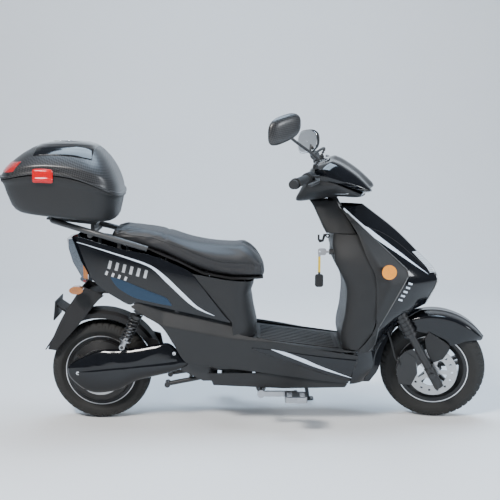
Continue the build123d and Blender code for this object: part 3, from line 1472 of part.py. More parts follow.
stand_half = 66.0
with BuildPart() as centre_stand:
    with BuildSketch(side(bracket_y - 1)):
        with Locations((stand_x, stand_z)):
            Circle(12)
    extrude(amount=2 * bracket_y - 2)
    for y in (stand_half, -stand_half):
        with BuildLine() as stand_path:
            FilletPolyline((stand_x, y, stand_z), (stand_x - 60, y, stand_z - 14), (stand_x - 170, y * 1.1, stand_z - 34), radius=60)
        with BuildSketch(Plane(origin=stand_path.line @ 0, z_dir=stand_path.line % 0)):
            Circle(9)
        sweep(path=stand_path.line)
        with BuildSketch(side(y * 1.1 + 20)):
            with Locations((stand_x - 172, stand_z - 34)):
                Circle(11)
        extrude(amount=40)
    with BuildSketch(side(stand_half)):
        with Locations((stand_x - 84, stand_z - 18)):
            Circle(8)
    extrude(amount=2 * stand_half)
    with BuildSketch(side(bracket_y)):
        with Locations((stand_x, stand_z)):
            Circle(stand_pin_radius + running)
    extrude(amount=2 * bracket_y, mode=Mode.SUBTRACT)
write("centre_stand", centre_stand.part)

# ---------------------------------------------------------------------------
# Pedals
# ---------------------------------------------------------------------------
with BuildPart() as crankset:
    with BuildSketch(side(crank_y + 6)):
        with Locations((crank_x, crank_z)):
            Circle(pivot_radius)
    extrude(amount=2 * crank_y + 12)
    for direction in (1, -1):
        start = crank_y + 6 if direction > 0 else -crank_y + 6
        with BuildSketch(side(start)):
            with Locations((crank_x, crank_z)):
                Circle(15)
            with Locations((crank_x - direction * crank_length / 2, crank_z)):
                Rectangle(crank_length, 20)
            with Locations((crank_x - direction * crank_length, crank_z)):
                Circle(12)
        extrude(amount=12)
        with BuildSketch(side(crank_y + 10 + pedal_length if direction > 0 else -crank_y)):
            with Locations((crank_x - direction * crank_length, crank_z)):
                Circle(5)
        extrude(amount=10 + pedal_length)
write("crankset", crankset.part)

for name, direction in (("pedal_left", 1), ("pedal_right", -1)):
    inner = crank_y + 9
    with BuildPart() as pedal:
        centre_y = direction * (inner + pedal_length / 2)
        with BuildSketch(Plane.XY.offset(crank_z - 11)):
            with Locations((crank_x - direction * crank_length, centre_y)):
                RectangleRounded(82, pedal_length - 2, 12)
                for offset_x in (-24, 24):
                    with Locations((offset_x, 0)):
                        Rectangle(20, pedal_length - 24, mode=Mode.SUBTRACT)
        extrude(amount=22)
        with BuildSketch(side(centre_y + pedal_length)):
            with Locations((crank_x - direction * crank_length, crank_z)):
                Circle(5 + running)
        extrude(amount=2 * pedal_length, mode=Mode.SUBTRACT)
    write(name, pedal.part)
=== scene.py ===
import json
from math import cos, pi, radians, sin, tan

import bpy
import numpy as np
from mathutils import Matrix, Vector


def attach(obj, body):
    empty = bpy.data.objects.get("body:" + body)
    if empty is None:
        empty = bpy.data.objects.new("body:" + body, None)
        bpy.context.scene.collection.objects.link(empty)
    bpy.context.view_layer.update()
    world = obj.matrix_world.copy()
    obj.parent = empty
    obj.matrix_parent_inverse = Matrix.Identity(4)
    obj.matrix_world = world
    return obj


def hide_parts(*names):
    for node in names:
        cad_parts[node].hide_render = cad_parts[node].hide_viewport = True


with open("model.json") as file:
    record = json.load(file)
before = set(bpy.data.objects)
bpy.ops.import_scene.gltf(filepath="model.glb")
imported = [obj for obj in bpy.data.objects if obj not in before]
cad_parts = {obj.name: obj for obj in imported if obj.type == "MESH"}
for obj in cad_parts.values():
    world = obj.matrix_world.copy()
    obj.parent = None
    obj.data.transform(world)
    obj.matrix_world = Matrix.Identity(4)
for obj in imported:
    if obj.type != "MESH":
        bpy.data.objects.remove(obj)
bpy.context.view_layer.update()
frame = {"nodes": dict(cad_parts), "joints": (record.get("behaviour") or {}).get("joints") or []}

bl_info = {
    "name": "Moped scooter",
    "version": (1, 0, 0),
    "blender": (4, 5, 0),
    "location": "View3D > Sidebar > Scooter",
    "description": "Panels, tyres, seat, top box and finishes of an electric moped scooter",
    "category": "Object",
}

MM = 0.001
JOINTS = {joint["name"]: joint for joint in frame["joints"]}


# ---------------------------------------------------------------------------
# Sizes and colours a user would change
# ---------------------------------------------------------------------------
class ScooterSizes(bpy.types.PropertyGroup):
    """Sizes of the visible pieces."""

    parked_steer: bpy.props.FloatProperty(
        name="Parked steering", description="Angle the handlebar is parked at, negative to the right",
        default=radians(-11.0), subtype="ANGLE",
    )
    panel_thickness: bpy.props.FloatProperty(
        name="Panel thickness", description="Wall of the body panels", default=0.0035, unit="LENGTH",
        min=0.001,
    )
    tread_depth: bpy.props.FloatProperty(
        name="Tread depth", description="Depth of the tyre grooves", default=0.0032, unit="LENGTH", min=0.0,
    )
    seat_swell: bpy.props.FloatProperty(
        name="Seat swell", description="How far the padding may push the seat cover out", default=0.008,
        unit="LENGTH", min=0.0,
    )


class ScooterColours(bpy.types.PropertyGroup):
    """Colours of the main finishes."""

    gloss: bpy.props.FloatVectorProperty(
        name="Gloss panels", description="Paint of the gloss panels", default=(0.0035, 0.0042, 0.0060),
        subtype="COLOR", size=3, min=0, max=1,
    )
    textured: bpy.props.FloatVectorProperty(
        name="Textured plastic", description="Grained plastic of the shield, sills and covers",
        default=(0.0125, 0.0130, 0.0140), subtype="COLOR", size=3, min=0, max=1,
    )
    seat: bpy.props.FloatVectorProperty(
        name="Seat vinyl", description="Seat cover", default=(0.0125, 0.0130, 0.0150),
        subtype="COLOR", size=3, min=0, max=1,
    )
    stripe: bpy.props.FloatVectorProperty(
        name="Stripes", description="Pale stripes along the panels", default=(0.62, 0.72, 0.86),
        subtype="COLOR", size=3, min=0, max=1,
    )


# ---------------------------------------------------------------------------
# Curves and surfaces
# ---------------------------------------------------------------------------
def smooth(points, count, closed=False):
    """Catmull-Rom curve through the points, resampled evenly by length.

    Between p1 and p2: 0.5 (2 p1 + (p2 - p0) t + (2 p0 - 5 p1 + 4 p2 - p3) t^2 + (3 p1 - p0 - 3 p2 + p3) t^3).
    """
    p = np.asarray(points, float)
    if closed:
        p = np.vstack([p[-1], p, p[0], p[1]])
    else:
        p = np.vstack([2 * p[0] - p[1], p, 2 * p[-1] - p[-2]])
    t = np.linspace(0, 1, 24, endpoint=False)[None, :, None]
    p0, p1, p2, p3 = p[:-3, None], p[1:-2, None], p[2:-1, None], p[3:, None]
    bend, twist = 2 * p0 - 5 * p1 + 4 * p2 - p3, 3 * p1 - p0 - 3 * p2 + p3
    dense = 0.5 * (2 * p1 + (p2 - p0) * t + bend * t**2 + twist * t**3)
    dense = np.vstack([dense.reshape(-1, p.shape[1]), p[-2][None]])
    length = np.concatenate([[0], np.cumsum(np.linalg.norm(np.diff(dense, axis=0), axis=1))])
    wanted = np.linspace(0, length[-1], count, endpoint=not closed)
    return np.stack([np.interp(wanted, length, dense[:, k]) for k in range(p.shape[1])], axis=1)


def ease(x, knots, values):
    """Smooth interpolation of a table: cubic Hermite spans whose slopes are finite differences."""
    knots = np.asarray(knots, float)
    values = np.asarray(values, float)
    slope = np.gradient(values, knots)
    x = np.clip(x, knots[0], knots[-1])
    k = np.clip(np.searchsorted(knots, x, side="right") - 1, 0, len(knots) - 2)
    h = knots[k + 1] - knots[k]
    t = (x - knots[k]) / h
    a = (1 + 2 * t) * (1 - t) ** 2 * values[k] + t * (1 - t) ** 2 * h * slope[k]
    return a + t**2 * (3 - 2 * t) * values[k + 1] + t**2 * (t - 1) * h * slope[k + 1]


def superellipse(angle, a, b, power):
    """Point (a |cos|^(2/n) sign cos, b |sin|^(2/n) sign sin) of a rounded rectangle."""
    c, s = np.cos(angle), np.sin(angle)
    return a * np.sign(c) * np.abs(c) ** (2 / power), b * np.sign(s) * np.abs(s) ** (2 / power)


def quads(rows, columns, wrap_rows, wrap_columns):
    """Faces of a grid whose vertices run row by row."""
    r = np.arange(rows if wrap_rows else rows - 1)
    c = np.arange(columns if wrap_columns else columns - 1)
    r, c = np.meshgrid(r, c, indexing="ij")
    r2, c2 = (r + 1) % rows, (c + 1) % columns
    corners = [r * columns + c, r * columns + c2, r2 * columns + c2, r2 * columns + c]
    return np.stack(corners, axis=-1).reshape(-1, 4)


def mesh_object(name, parts, material, angle=40.0):
    """One object from (points in mm, quad faces) parts, smooth but for edges sharper than angle."""
    points, faces, start = [], [], 0
    for grid, cells in parts:
        flat = np.asarray(grid, float).reshape(-1, 3)
        points.append(flat)
        faces.append(np.asarray(cells) + start)
        start += len(flat)
    points = np.vstack(points) * MM
    faces = np.vstack(faces)
    mesh = bpy.data.meshes.new(name)
    mesh.vertices.add(len(points))
    mesh.vertices.foreach_set("co", points.ravel())
    mesh.loops.add(faces.size)
    mesh.loops.foreach_set("vertex_index", faces.ravel())
    mesh.polygons.add(len(faces))
    mesh.polygons.foreach_set("loop_start", np.arange(0, faces.size, 4))
    mesh.polygons.foreach_set("use_smooth", np.ones(len(faces), bool))
    mesh.update(calc_edges=True)
    mesh.validate()
    mesh.materials.append(material)
    mesh.set_sharp_from_angle(angle=radians(angle))
    piece = bpy.data.objects.new(name, mesh)
    bpy.context.scene.collection.objects.link(piece)
    return piece


def sheet_grid(grid, wrap_rows=False, wrap_columns=False, turned=False):
    """A grid of points with its faces; turned swaps which side is out."""
    grid = np.asarray(grid, float)
    cells = quads(grid.shape[0], grid.shape[1], wrap_rows, wrap_columns)
    return grid, cells[:, ::-1] if turned else cells


def thicken(piece, thickness, bevel=0.0009):
    """Give an open surface its wall, inwards, and round the wall's edges."""
    wall = piece.modifiers.new("wall", "SOLIDIFY")
    wall.thickness = thickness
    wall.offset = -1.0
    wall.use_even_offset = False
    if bevel:
        rounding = piece.modifiers.new("rounded edge", "BEVEL")
        rounding.width = bevel
        rounding.segments = 2
        rounding.limit_method = "ANGLE"
        rounding.angle_limit = radians(55)
    return piece


def patch(lower, upper, across, along, depth):
    """Ruled patch (1 - v) lower(u) + v upper(u) in the XZ plane, with y = depth(x, z)."""
    low, high = smooth(lower, along), smooth(upper, along)
    v = np.linspace(0, 1, across)[:, None, None]
    plane = (1 - v) * low[None] + v * high[None]
    return np.stack([plane[..., 0], depth(plane[..., 0], plane[..., 1]), plane[..., 1]], axis=-1)


def both_sides(grid):
    """A right-hand grid (y negative outwards) and its left-hand mirror image, both facing outwards."""
    mirror = grid * np.array([1, -1, 1])
    return [sheet_grid(grid), sheet_grid(mirror, turned=True)]


def tube(path, radius, around=16, closed=False):
    """Circle of a given radius carried along a path, its frame kept level against +Z or +X."""
    path = np.asarray(path, float)
    tangent = np.gradient(path, axis=0)
    if closed:
        tangent = np.roll(path, -1, axis=0) - np.roll(path, 1, axis=0)
    tangent /= np.linalg.norm(tangent, axis=1)[:, None]
    up = np.where(np.abs(tangent[:, 2:3]) > 0.9, np.array([1.0, 0, 0]), np.array([0, 0, 1.0]))
    side = np.cross(tangent, up)
    side /= np.linalg.norm(side, axis=1)[:, None]
    normal = np.cross(side, tangent)
    angle = np.linspace(0, 2 * pi, around, endpoint=False)[None, :, None]
    radius = np.broadcast_to(np.asarray(radius, float), (len(path),))[:, None, None]
    ring = path[:, None] + radius * (np.cos(angle) * side[:, None] + np.sin(angle) * normal[:, None])
    if not closed:
        ring = np.concatenate([path[:1, None] + 0 * ring[:1], ring, path[-1:, None] + 0 * ring[-1:]])
    return sheet_grid(ring, wrap_rows=closed, wrap_columns=True)


def joint_centre(name):
    """Where a joint stands, in mm."""
    return np.array(JOINTS[name]["pos_m"]) / MM


def steered(points, back=False):
    """Turn points in mm about the steering axis by the parked angle, or back from it (Rodrigues' formula)."""
    joint = JOINTS["steer"]
    angle = bpy.context.scene.scooter_sizes.parked_steer * (-1 if back else 1)
    origin = joint_centre("steer")
    axis = np.array(joint["axis"], float)
    v = np.asarray(points, float) - origin
    turned = v * cos(angle) + np.cross(axis, v) * sin(angle)
    return origin + turned + (v @ axis)[..., None] * axis * (1 - cos(angle))


def turned_parts(parts):
    """Steered copies of mesh parts."""
    return [(steered(grid), cells) for grid, cells in parts]


def finish_piece(piece, body, slot, *nodes):
    """Attach a piece to its body and hide the nodes it stands for; its slot is not used."""
    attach(piece, body)
    if nodes:
        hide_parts(*nodes)


def add(name, parts, finish, body, slot, *nodes, wall=0.0, bevel=0.0009, angle=60):
    """Make a piece from its parts, give it a wall if one is asked for, and attach it."""
    piece = mesh_object(name, parts, FINISHES[finish], angle)
    if wall:
        thicken(piece, wall, bevel)
    finish_piece(piece, body, slot, *nodes)


def front_halves(x, y, z):
    """A right-hand half and its mirror image, joined at y = 0 where each row ends."""
    right, left = np.stack([x, -y, z], axis=-1), np.stack([x, y, z], axis=-1)
    return sheet_grid(np.concatenate([right, left[:, ::-1][:, 1:]], axis=1))


def mirrored_tubes(path, radius):
    """A right-hand tube and its left-hand mirror image."""
    return [tube(path, radius, 8), tube(path * np.array([1, -1, 1]), radius, 8)]


# ---------------------------------------------------------------------------
# Shader maths
# ---------------------------------------------------------------------------
class Value:
    """A shader socket that takes part in plain arithmetic."""

    def __init__(self, finish, socket):
        self.finish, self.socket = finish, socket

    def maths(self, operation, *others):
        return self.finish.node("ShaderNodeMath", {"operation": operation}, dict(enumerate(others)))

    def __add__(self, other):
        return self.maths("ADD", self, other)

    def __radd__(self, other):
        return self.maths("ADD", other, self)

    def __sub__(self, other):
        return self.maths("SUBTRACT", self, other)

    def __rsub__(self, other):
        return self.maths("SUBTRACT", other, self)

    def __mul__(self, other):
        return self.maths("MULTIPLY", self, other)

    def __rmul__(self, other):
        return self.maths("MULTIPLY", other, self)

    def __gt__(self, other):
        return self.maths("GREATER_THAN", self, other)

    def absolute(self):
        return self.maths("ABSOLUTE", self)

    def wave(self):
        return self.maths("SINE", self)


class Finish:
    """A material and its node tree."""

    def __init__(self, name):
        self.material = bpy.data.materials.new(name)
        self.material.use_nodes = True
        self.tree = self.material.node_tree
        self.tree.nodes.clear()
        self.output = self.tree.nodes.new("ShaderNodeOutputMaterial")

    def node(self, kind, settings=None, inputs=None, output=0):
        """Add a node, set it up, feed its sockets and return one of its outputs."""
        made = self.tree.nodes.new(kind)
        for key, value in (settings or {}).items():
            if key == "stops":
                ramp = made.color_ramp
                for number, (place, colour) in enumerate(value):
                    stop = ramp.elements[number] if number < len(ramp.elements) else ramp.elements.new(place)
                    stop.position = place
                    stop.color = (*colour, 1) if len(colour) == 3 else colour
            else:
                setattr(made, key, value)
        for key, value in (inputs or {}).items():
            socket = made.inputs[key]
            if isinstance(value, Value):
                self.tree.links.new(value.socket, socket)
            else:
                socket.default_value = value
        return Value(self, made.outputs[output])

    def place(self):
        """Object coordinates in metres."""
        return self.node("ShaderNodeTexCoord", output="Object")

    def axis(self, letter):
        """The X, Y or Z of object coordinates."""
        return self.node("ShaderNodeSeparateXYZ", None, {0: self.place()}, output=letter)

    def from_axle(self, joint):
        """Distance from a joint's axis: |(p - centre) x axis|."""
        kind, centre, axis = "ShaderNodeVectorMath", tuple(joint["pos_m"]), tuple(joint["axis"])
        arm = self.node(kind, {"operation": "SUBTRACT"}, {0: self.place(), 1: centre})
        across = self.node(kind, {"operation": "CROSS_PRODUCT"}, {0: arm, 1: axis})
        return self.node(kind, {"operation": "LENGTH"}, {0: across}, output="Value")

    def drawn(self, scale, stretch):
        """Noise stretched along one axis, as brushing is."""
        place = self.node("ShaderNodeMapping", None, {"Vector": self.place(), "Scale": stretch})
        return self.noise(scale, 3.0, 0.6, place)

    def noise(self, scale, detail=3.0, roughness=0.5, vector=None):
        return self.node(
            "ShaderNodeTexNoise", None,
            {"Vector": vector or self.place(), "Scale": scale, "Detail": detail, "Roughness": roughness},
        )

    def cells(self, scale):
        inputs = {"Vector": self.place(), "Scale": scale}
        return self.node("ShaderNodeTexVoronoi", None, inputs, output="Distance")

    def mix(self, factor, a, b):
        """Colour mix of a and b."""
        made = self.tree.nodes.new("ShaderNodeMix")
        made.data_type = "RGBA"
        for socket, value in ((made.inputs[0], factor), (made.inputs[6], a), (made.inputs[7], b)):
            if isinstance(value, Value):
                self.tree.links.new(value.socket, socket)
            elif socket.type == "RGBA":
                socket.default_value = (*value, 1) if len(value) == 3 else value
            else:
                socket.default_value = value
        return Value(self, made.outputs[2])

    def bump(self, height, strength, distance):
        inputs = {"Height": height, "Strength": strength, "Distance": distance}
        return self.node("ShaderNodeBump", None, inputs)

    def surface(self, **sockets):
        """Close the material with a Principled shader."""
        values = {}
        for key, value in sockets.items():
            if isinstance(value, tuple) and len(value) == 3:
                value = (*value, 1)
            values[key.replace("_", " ")] = value
        shader = self.node("ShaderNodeBsdfPrincipled", None, values)
        self.tree.links.new(shader.socket, self.output.inputs["Surface"])
        return self.material


FINISHES = {}


def colours():
    return bpy.context.scene.scooter_colours


def gloss_panel(name="gloss panel", colour=None):
    """Deep gloss paint: a clear coat over black with a trace of orange peel and dust."""
    f = Finish(name)
    base = tuple(colour or colours().gloss)
    dust = f.noise(38.0, 5.0, 0.7)
    fine = f.noise(900.0, 2.0)
    tone = f.mix((dust - 0.45) * 0.06, base, (0.10, 0.11, 0.13))
    rough = 0.10 + dust * 0.06
    peel = f.bump(f.noise(160.0, 2.0) * 0.8 + fine * 0.2, 0.05, 0.0005)
    return f.surface(
        Base_Color=tone, Roughness=rough, Normal=peel, Coat_Weight=0.45, Coat_Roughness=0.04,
        Specular_IOR_Level=0.22,
    )


def grained_plastic(name="grained plastic", colour=None, scale=950.0, strength=0.35, rough=0.5):
    """Moulded plastic with a leather-like grain and scuffed highlights."""
    f = Finish(name)
    base = tuple(colour or colours().textured)
    cells = f.cells(scale)
    wear = f.noise(14.0, 5.0, 0.65)
    lighter = tuple(min(1.0, c * 1.8 + 0.004) for c in base)
    tone = f.mix(wear * 0.55, base, lighter)
    return f.surface(
        Base_Color=tone, Roughness=rough + (wear - 0.5) * 0.16, Normal=f.bump(cells, strength, 0.0008),
        Specular_IOR_Level=0.38,
    )


def painted_steel(name="painted steel", colour=(0.008, 0.008, 0.009), rough=0.38):
    """Powder coat with a slight pebble and grime in broad patches."""
    f = Finish(name)
    grime = f.noise(22.0, 4.0, 0.6)
    tone = f.mix(grime * 0.3, colour, tuple(c * 2.0 + 0.006 for c in colour))
    return f.surface(
        Base_Color=tone, Roughness=rough + grime * 0.15, Normal=f.bump(f.noise(700.0, 2.0), 0.12, 0.0006),
        Coat_Weight=0.2,
    )


def bare_metal(name="satin alloy", colour=(0.42, 0.43, 0.45), rough=0.34, stretch=(1.0, 1.0, 14.0)):
    """Alloy with fine brushing and a few duller patches."""
    f = Finish(name)
    lines = f.drawn(260.0, stretch)
    patches = f.noise(30.0, 4.0, 0.6)
    tone = f.mix(patches * 0.6, colour, tuple(c * 0.55 for c in colour))
    return f.surface(
        Base_Color=tone, Metallic=1.0, Roughness=rough + (patches - 0.5) * 0.22,
        Normal=f.bump(lines, 0.12, 0.0004),
    )


def tyre_rubber():
    """Black rubber, dusty grey on the side walls, with fine mould lines."""
    f = Finish("tyre rubber")
    dust = f.noise(55.0, 6.0, 0.7)
    tone = f.mix(dust * 0.6, (0.009, 0.009, 0.009), (0.034, 0.033, 0.031))
    pores = f.bump(f.noise(600.0, 3.0), 0.25, 0.0008)
    return f.surface(Base_Color=tone, Roughness=0.72 + dust * 0.15, Normal=pores)


def soft_rubber():
    """Matte rubber with small studs."""
    f = Finish("soft rubber")
    tone = f.mix(f.noise(30.0, 4.0) * 0.5, (0.008, 0.008, 0.009), (0.026, 0.026, 0.026))
    return f.surface(Base_Color=tone, Roughness=0.68, Normal=f.bump(f.cells(420.0), 0.5, 0.0012))


def seat_vinyl():
    """Grained seat vinyl: creased cells over fine pores, polished where it is sat on."""
    f = Finish("seat vinyl")
    grain = f.cells(520.0) + f.noise(1400.0, 2.0) * 0.35
    wear = f.noise(9.0, 4.0, 0.6)
    base = tuple(colours().seat)
    tone = f.mix(wear * 0.6, base, tuple(c * 1.8 + 0.004 for c in base))
    return f.surface(
        Base_Color=tone, Roughness=0.42 + wear * 0.14, Normal=f.bump(grain, 0.42, 0.0009),
        Specular_IOR_Level=0.5,
    )


def woven_gloss(scale=260.0):
    """Carbon-look twill under a clear coat: two sets of bands that pass over each other."""
    f = Finish("woven gloss")
    x, y, z = f.axis("X"), f.axis("Y"), f.axis("Z")
    a = ((x + z * 0.6 + y * 0.4) * scale * 2).wave()
    b = ((x * 0.4 - z + y * 0.7) * scale * 2).wave()
    over = (a * b) > 0.0
    tone = f.mix(over, (0.006, 0.006, 0.007), (0.034, 0.035, 0.038))
    peel = f.bump(a * b, 0.15, 0.0004)
    return f.surface(
        Base_Color=tone, Roughness=0.40 + over * 0.12, Normal=peel, Coat_Weight=0.35, Coat_Roughness=0.22
    )


def clear_lens(name="clear lens", colour=(0.72, 0.78, 0.84), ribs=900.0):
    """Pale lens with optical ribs behind a smooth face."""
    f = Finish(name)
    rib = ((f.axis("Z") * ribs).wave() * 0.5 + 0.5) * 0.6 + f.cells(240.0) * 0.4
    tone = f.mix(rib, tuple(c * 0.45 for c in colour), colour)
    return f.surface(
        Base_Color=tone, Roughness=0.12 + rib * 0.1, Normal=f.bump(rib, 0.2, 0.0005), Coat_Weight=1.0,
        Coat_Roughness=0.02,
    )


def tinted_lens(name, colour, glow=0.04):
    """Coloured lens with prism cells and a painted glow: it emits light at strength glow, though it is no lamp."""
    f = Finish(name)
    prism = f.cells(420.0)
    tone = f.mix(prism * 0.9, colour, tuple(c * 0.5 for c in colour))
    # the emission is a painted glow, since these lenses go on reflectors and not on lamps
    return f.surface(
        Base_Color=tone, Roughness=0.15 + prism * 0.15, Normal=f.bump(prism, 0.5, 0.001), Coat_Weight=1.0,
        Coat_Roughness=0.03, Emission_Color=tone, Emission_Strength=glow,
    )


def stripe_film():
    """Pale printed film, slightly fading along its length."""
    f = Finish("stripe film")
    base = tuple(colours().stripe)
    fade = f.noise(6.0, 3.0)
    tone = f.mix(fade * 0.5, base, (0.85, 0.90, 0.97))
    return f.surface(
        Base_Color=tone, Roughness=0.28 + fade * 0.1, Coat_Weight=0.4,
        Normal=f.bump(f.noise(500.0), 0.05, 0.0003),
    )


def smoke_blue():
    """Brushed smoky blue trim plate."""
    f = Finish("smoke blue trim")
    lines = f.drawn(170.0, (1.0, 1.0, 18.0))
    tone = f.mix(lines, (0.012, 0.024, 0.045), (0.045, 0.080, 0.130))
    brushing = f.bump(lines, 0.15, 0.0004)
    return f.surface(Base_Color=tone, Metallic=0.7, Roughness=0.34 + lines * 0.15, Normal=brushing)


def wheel_finish(name, joint, lip_from):
    """Black wheel with a machined lip: silver where the distance from the axle is over lip_from."""
    f = Finish(name)
    radius = f.from_axle(joint)
    lip = radius > lip_from
    turning = (radius * 9000.0).wave() * 0.5 + 0.5
    grime = f.noise(40.0, 4.0)
    dark = f.mix(grime * 0.3, (0.007, 0.007, 0.008), (0.03, 0.03, 0.03))
    tone = f.mix(lip, dark, f.mix(turning * 0.3, (0.72, 0.73, 0.75), (0.5, 0.51, 0.53)))
    return f.surface(
        Base_Color=tone, Metallic=lip * 0.9, Roughness=0.3 + grime * 0.12 - lip * 0.05,
        Normal=f.bump(f.noise(500.0) * 0.3 + turning * lip, 0.08, 0.0004),
    )


def disc_steel(name, joint):
    """Ground brake disc: concentric scoring around the axle."""
    f = Finish(name)
    radius = f.from_axle(joint)
    score = (radius * 7000.0).wave() * 0.5 + 0.5
    tone = f.mix(score * 0.6, (0.50, 0.50, 0.50), (0.32, 0.32, 0.33))
    scoring = f.bump(score, 0.1, 0.0003)
    return f.surface(Base_Color=tone, Metallic=1.0, Roughness=0.24 + score * 0.14, Normal=scoring)


def mirror_glass():
    """Silvered glass with a faint film of dust."""
    f = Finish("mirror glass")
    dust = f.noise(60.0, 5.0)
    tone = f.mix(dust * 0.2, (0.9, 0.92, 0.94), (0.6, 0.62, 0.65))
    return f.surface(Base_Color=tone, Metallic=1.0, Roughness=0.03 + dust * 0.05)


def tail_lenses():
    """Tail lamp plastic: red in the middle, smoky clear at the sides, amber out on the indicators."""
    f = Finish("tail lenses")
    prism = f.cells(380.0)
    out = f.axis("Y").absolute()
    side = f.mix(out > 0.058, (0.42, 0.012, 0.014), (0.10, 0.13, 0.17))
    tone = f.mix(out > 0.1045, side, (0.55, 0.17, 0.01))
    tone = f.mix(prism * 0.8, tone, (0.02, 0.02, 0.02))
    return f.surface(
        Base_Color=tone, Roughness=0.14 + prism * 0.12, Normal=f.bump(prism, 0.35, 0.0008), Coat_Weight=1.0,
        Coat_Roughness=0.03,
    )


def key_finish():
    """Key: bare metal shank, yellow webbing strap below it, black fob at the end."""
    f = Finish("key and strap")
    z = f.axis("Z")
    weave = (z * 5200.0).wave() * 0.5 + 0.5
    cloth = f.mix(weave * 0.5, (0.80, 0.58, 0.02), (0.45, 0.30, 0.01))
    shank = z > 0.652
    tone = f.mix(shank, f.mix(z > 0.592, (0.010, 0.010, 0.011), cloth), (0.42, 0.42, 0.44))
    return f.surface(
        Base_Color=tone, Metallic=shank * 0.8, Roughness=0.42 + weave * 0.1, Normal=f.bump(weave, 0.2, 0.0004)
    )


def make_finishes():
    """Every finish of the scooter, by a short name."""
    FINISHES.update(
        gloss=gloss_panel(), grained=grained_plastic(), seat=seat_vinyl(), tyre=tyre_rubber(),
        dark=painted_steel(), grey=painted_steel("grey steel", (0.030, 0.031, 0.033), 0.42),
        alloy=bare_metal(), rubber=soft_rubber(), woven=woven_gloss(), lens=clear_lens(),
        # red and amber lenses go on reflectors; their emission is a painted glow, brightest on the amber side
        # reflectors
        red=tinted_lens("red lens", (0.55, 0.01, 0.012)),
        amber=tinted_lens("amber lens", (1.0, 0.34, 0.0), 0.30), stripe=stripe_film(), blue=smoke_blue(),
        front_wheel=wheel_finish("front wheel", JOINTS["front_wheel_spin"], 0.1345),
        rear_wheel=wheel_finish("rear wheel", JOINTS["rear_wheel_spin"], 0.1352),
        front_disc=disc_steel("front disc", JOINTS["front_wheel_spin"]),
        rear_disc=disc_steel("rear disc", JOINTS["rear_wheel_spin"]), mirror=mirror_glass(),
        matte=grained_plastic("matte plastic", (0.009, 0.009, 0.010), 1500.0, 0.2, 0.6),
        latch=gloss_panel("red latch", (0.60, 0.006, 0.010)),
        tail=tail_lenses(), key=key_finish(), trim=bare_metal("grey trim", (0.16, 0.165, 0.17), 0.4),
        silver=bare_metal("silver strip", (0.75, 0.76, 0.78), 0.22),
        brass=bare_metal("brass", (0.75, 0.55, 0.25), 0.3),
        light=clear_lens("light bar", (0.86, 0.89, 0.92), 500.0),
        dash=clear_lens("dash lens", (0.05, 0.06, 0.07), 300.0),
    )


# ---------------------------------------------------------------------------
# Wheels
# ---------------------------------------------------------------------------
def tyre(name, joint, radius, width, body, node, steer):
    """Tyre section (y, r) turned about the axle; the tread is cut by r - depth where slanted waves cross.

    Point = (r cos a, y, r sin a) about the axle, r = section radius - depth * groove(a, y).
    """
    sizes = bpy.context.scene.scooter_sizes
    half = width / 2
    section = [
        (-30.5, 128.6), (-34.5, 140.5), (-half + 2.5, 153), (-half, radius - 36), (-half + 2.5, radius - 22),
        (-half + 10, radius - 9.5), (-19, radius - 1.6), (0, radius), (19, radius - 1.6), (half - 10, radius - 9.5),
        (half - 2.5, radius - 22), (half, radius - 36), (half - 2.5, 153), (34.5, 140.5), (30.5, 128.6),
    ]
    ring = smooth(section, 72)
    angle = np.linspace(0, 2 * pi, 540, endpoint=False)[:, None]
    y, r = ring[None, :, 0], ring[None, :, 1]
    lane = np.abs(y) / half
    blocks = np.sin(45 * angle + 5.0 * lane * np.sign(y)) > 0.62
    side_cut = np.sin(90 * angle - 3.0 * lane) > 0.75
    ridge = (np.abs(np.abs(y) - 7.0) < 1.6) | (blocks & (lane > 0.22) & (lane < 0.8))
    ridge |= side_cut & (lane > 0.8) & (r > radius - 24)
    step = (ridge & (r > radius - 26)).astype(float)
    wall = 0.8 * np.exp(-((r - 158.0) / 1.4) ** 2)
    r = r - step * sizes.tread_depth / MM + wall
    grid = np.stack([r * np.cos(angle), np.broadcast_to(y, r.shape), r * np.sin(angle)], axis=-1)
    centre = joint_centre(joint)
    grid = steered(grid + steered(centre, back=True)) if steer else grid + centre
    part = sheet_grid(grid, wrap_rows=True, wrap_columns=True, turned=True)
    add(name, [part], "tyre", body, "tyre_rubber", node, angle=50)


class SCOOTER_OT_tyres(bpy.types.Operator):
    """Front and rear tyres with their tread"""

    bl_idname = "scooter.tyres"
    bl_label = "Tyres"

    def execute(self, context):
        tyre("tread_front", "front_wheel_spin", 203.0, 80.0, "front_wheel", "front_tyre", True)
        tyre("tread_rear", "rear_wheel_spin", 195.0, 90.0, "rear_wheel", "rear_tyre", False)
        stem = smooth([(-104, -10, 4), (-100, -26, 5), (-96, -40, 10), (-94, -46, 18)], 14)
        front = turned_parts([tube(stem + steered(joint_centre("front_wheel_spin"), back=True), 3.2)])
        rear = [tube(stem * np.array([1.12, 1.15, 1]) + joint_centre("rear_wheel_spin"), 3.2)]
        for end, parts in (("front", front), ("rear", rear)):
            add(f"valve_{end}", parts, "brass", f"{end}_wheel", "bare_alloy", angle=40)
        return {"FINISHED"}


# ---------------------------------------------------------------------------
# Body panels
# ---------------------------------------------------------------------------
PLAN_X = [-690, -642, -592, -452, -202, -60, 60, 298, 420]
PLAN_Y = [60, 90, 119, 147, 160, 163, 168, 167, 152]


def panel_side(x, z):
    """Half width of the rear body: a plan curve less the square of the height off its belt line."""
    belt = 585 + 0.26 * (-x - 350)
    return -(ease(x, PLAN_X, PLAN_Y) - 7.0 * np.clip((z - belt) / 110, -1.2, 1.2) ** 2)


def sill_side(x, z):
    """Half width of the sills: a plan curve with a soft ridge along the crease."""
    off = z - np.interp(x, [-445, -328, -76, 113, 410], [470, 402, 354, 338, 284])
    return -(ease(x, PLAN_X, PLAN_Y) - np.where(off < 0, 0.16, 0.50) * np.abs(off))


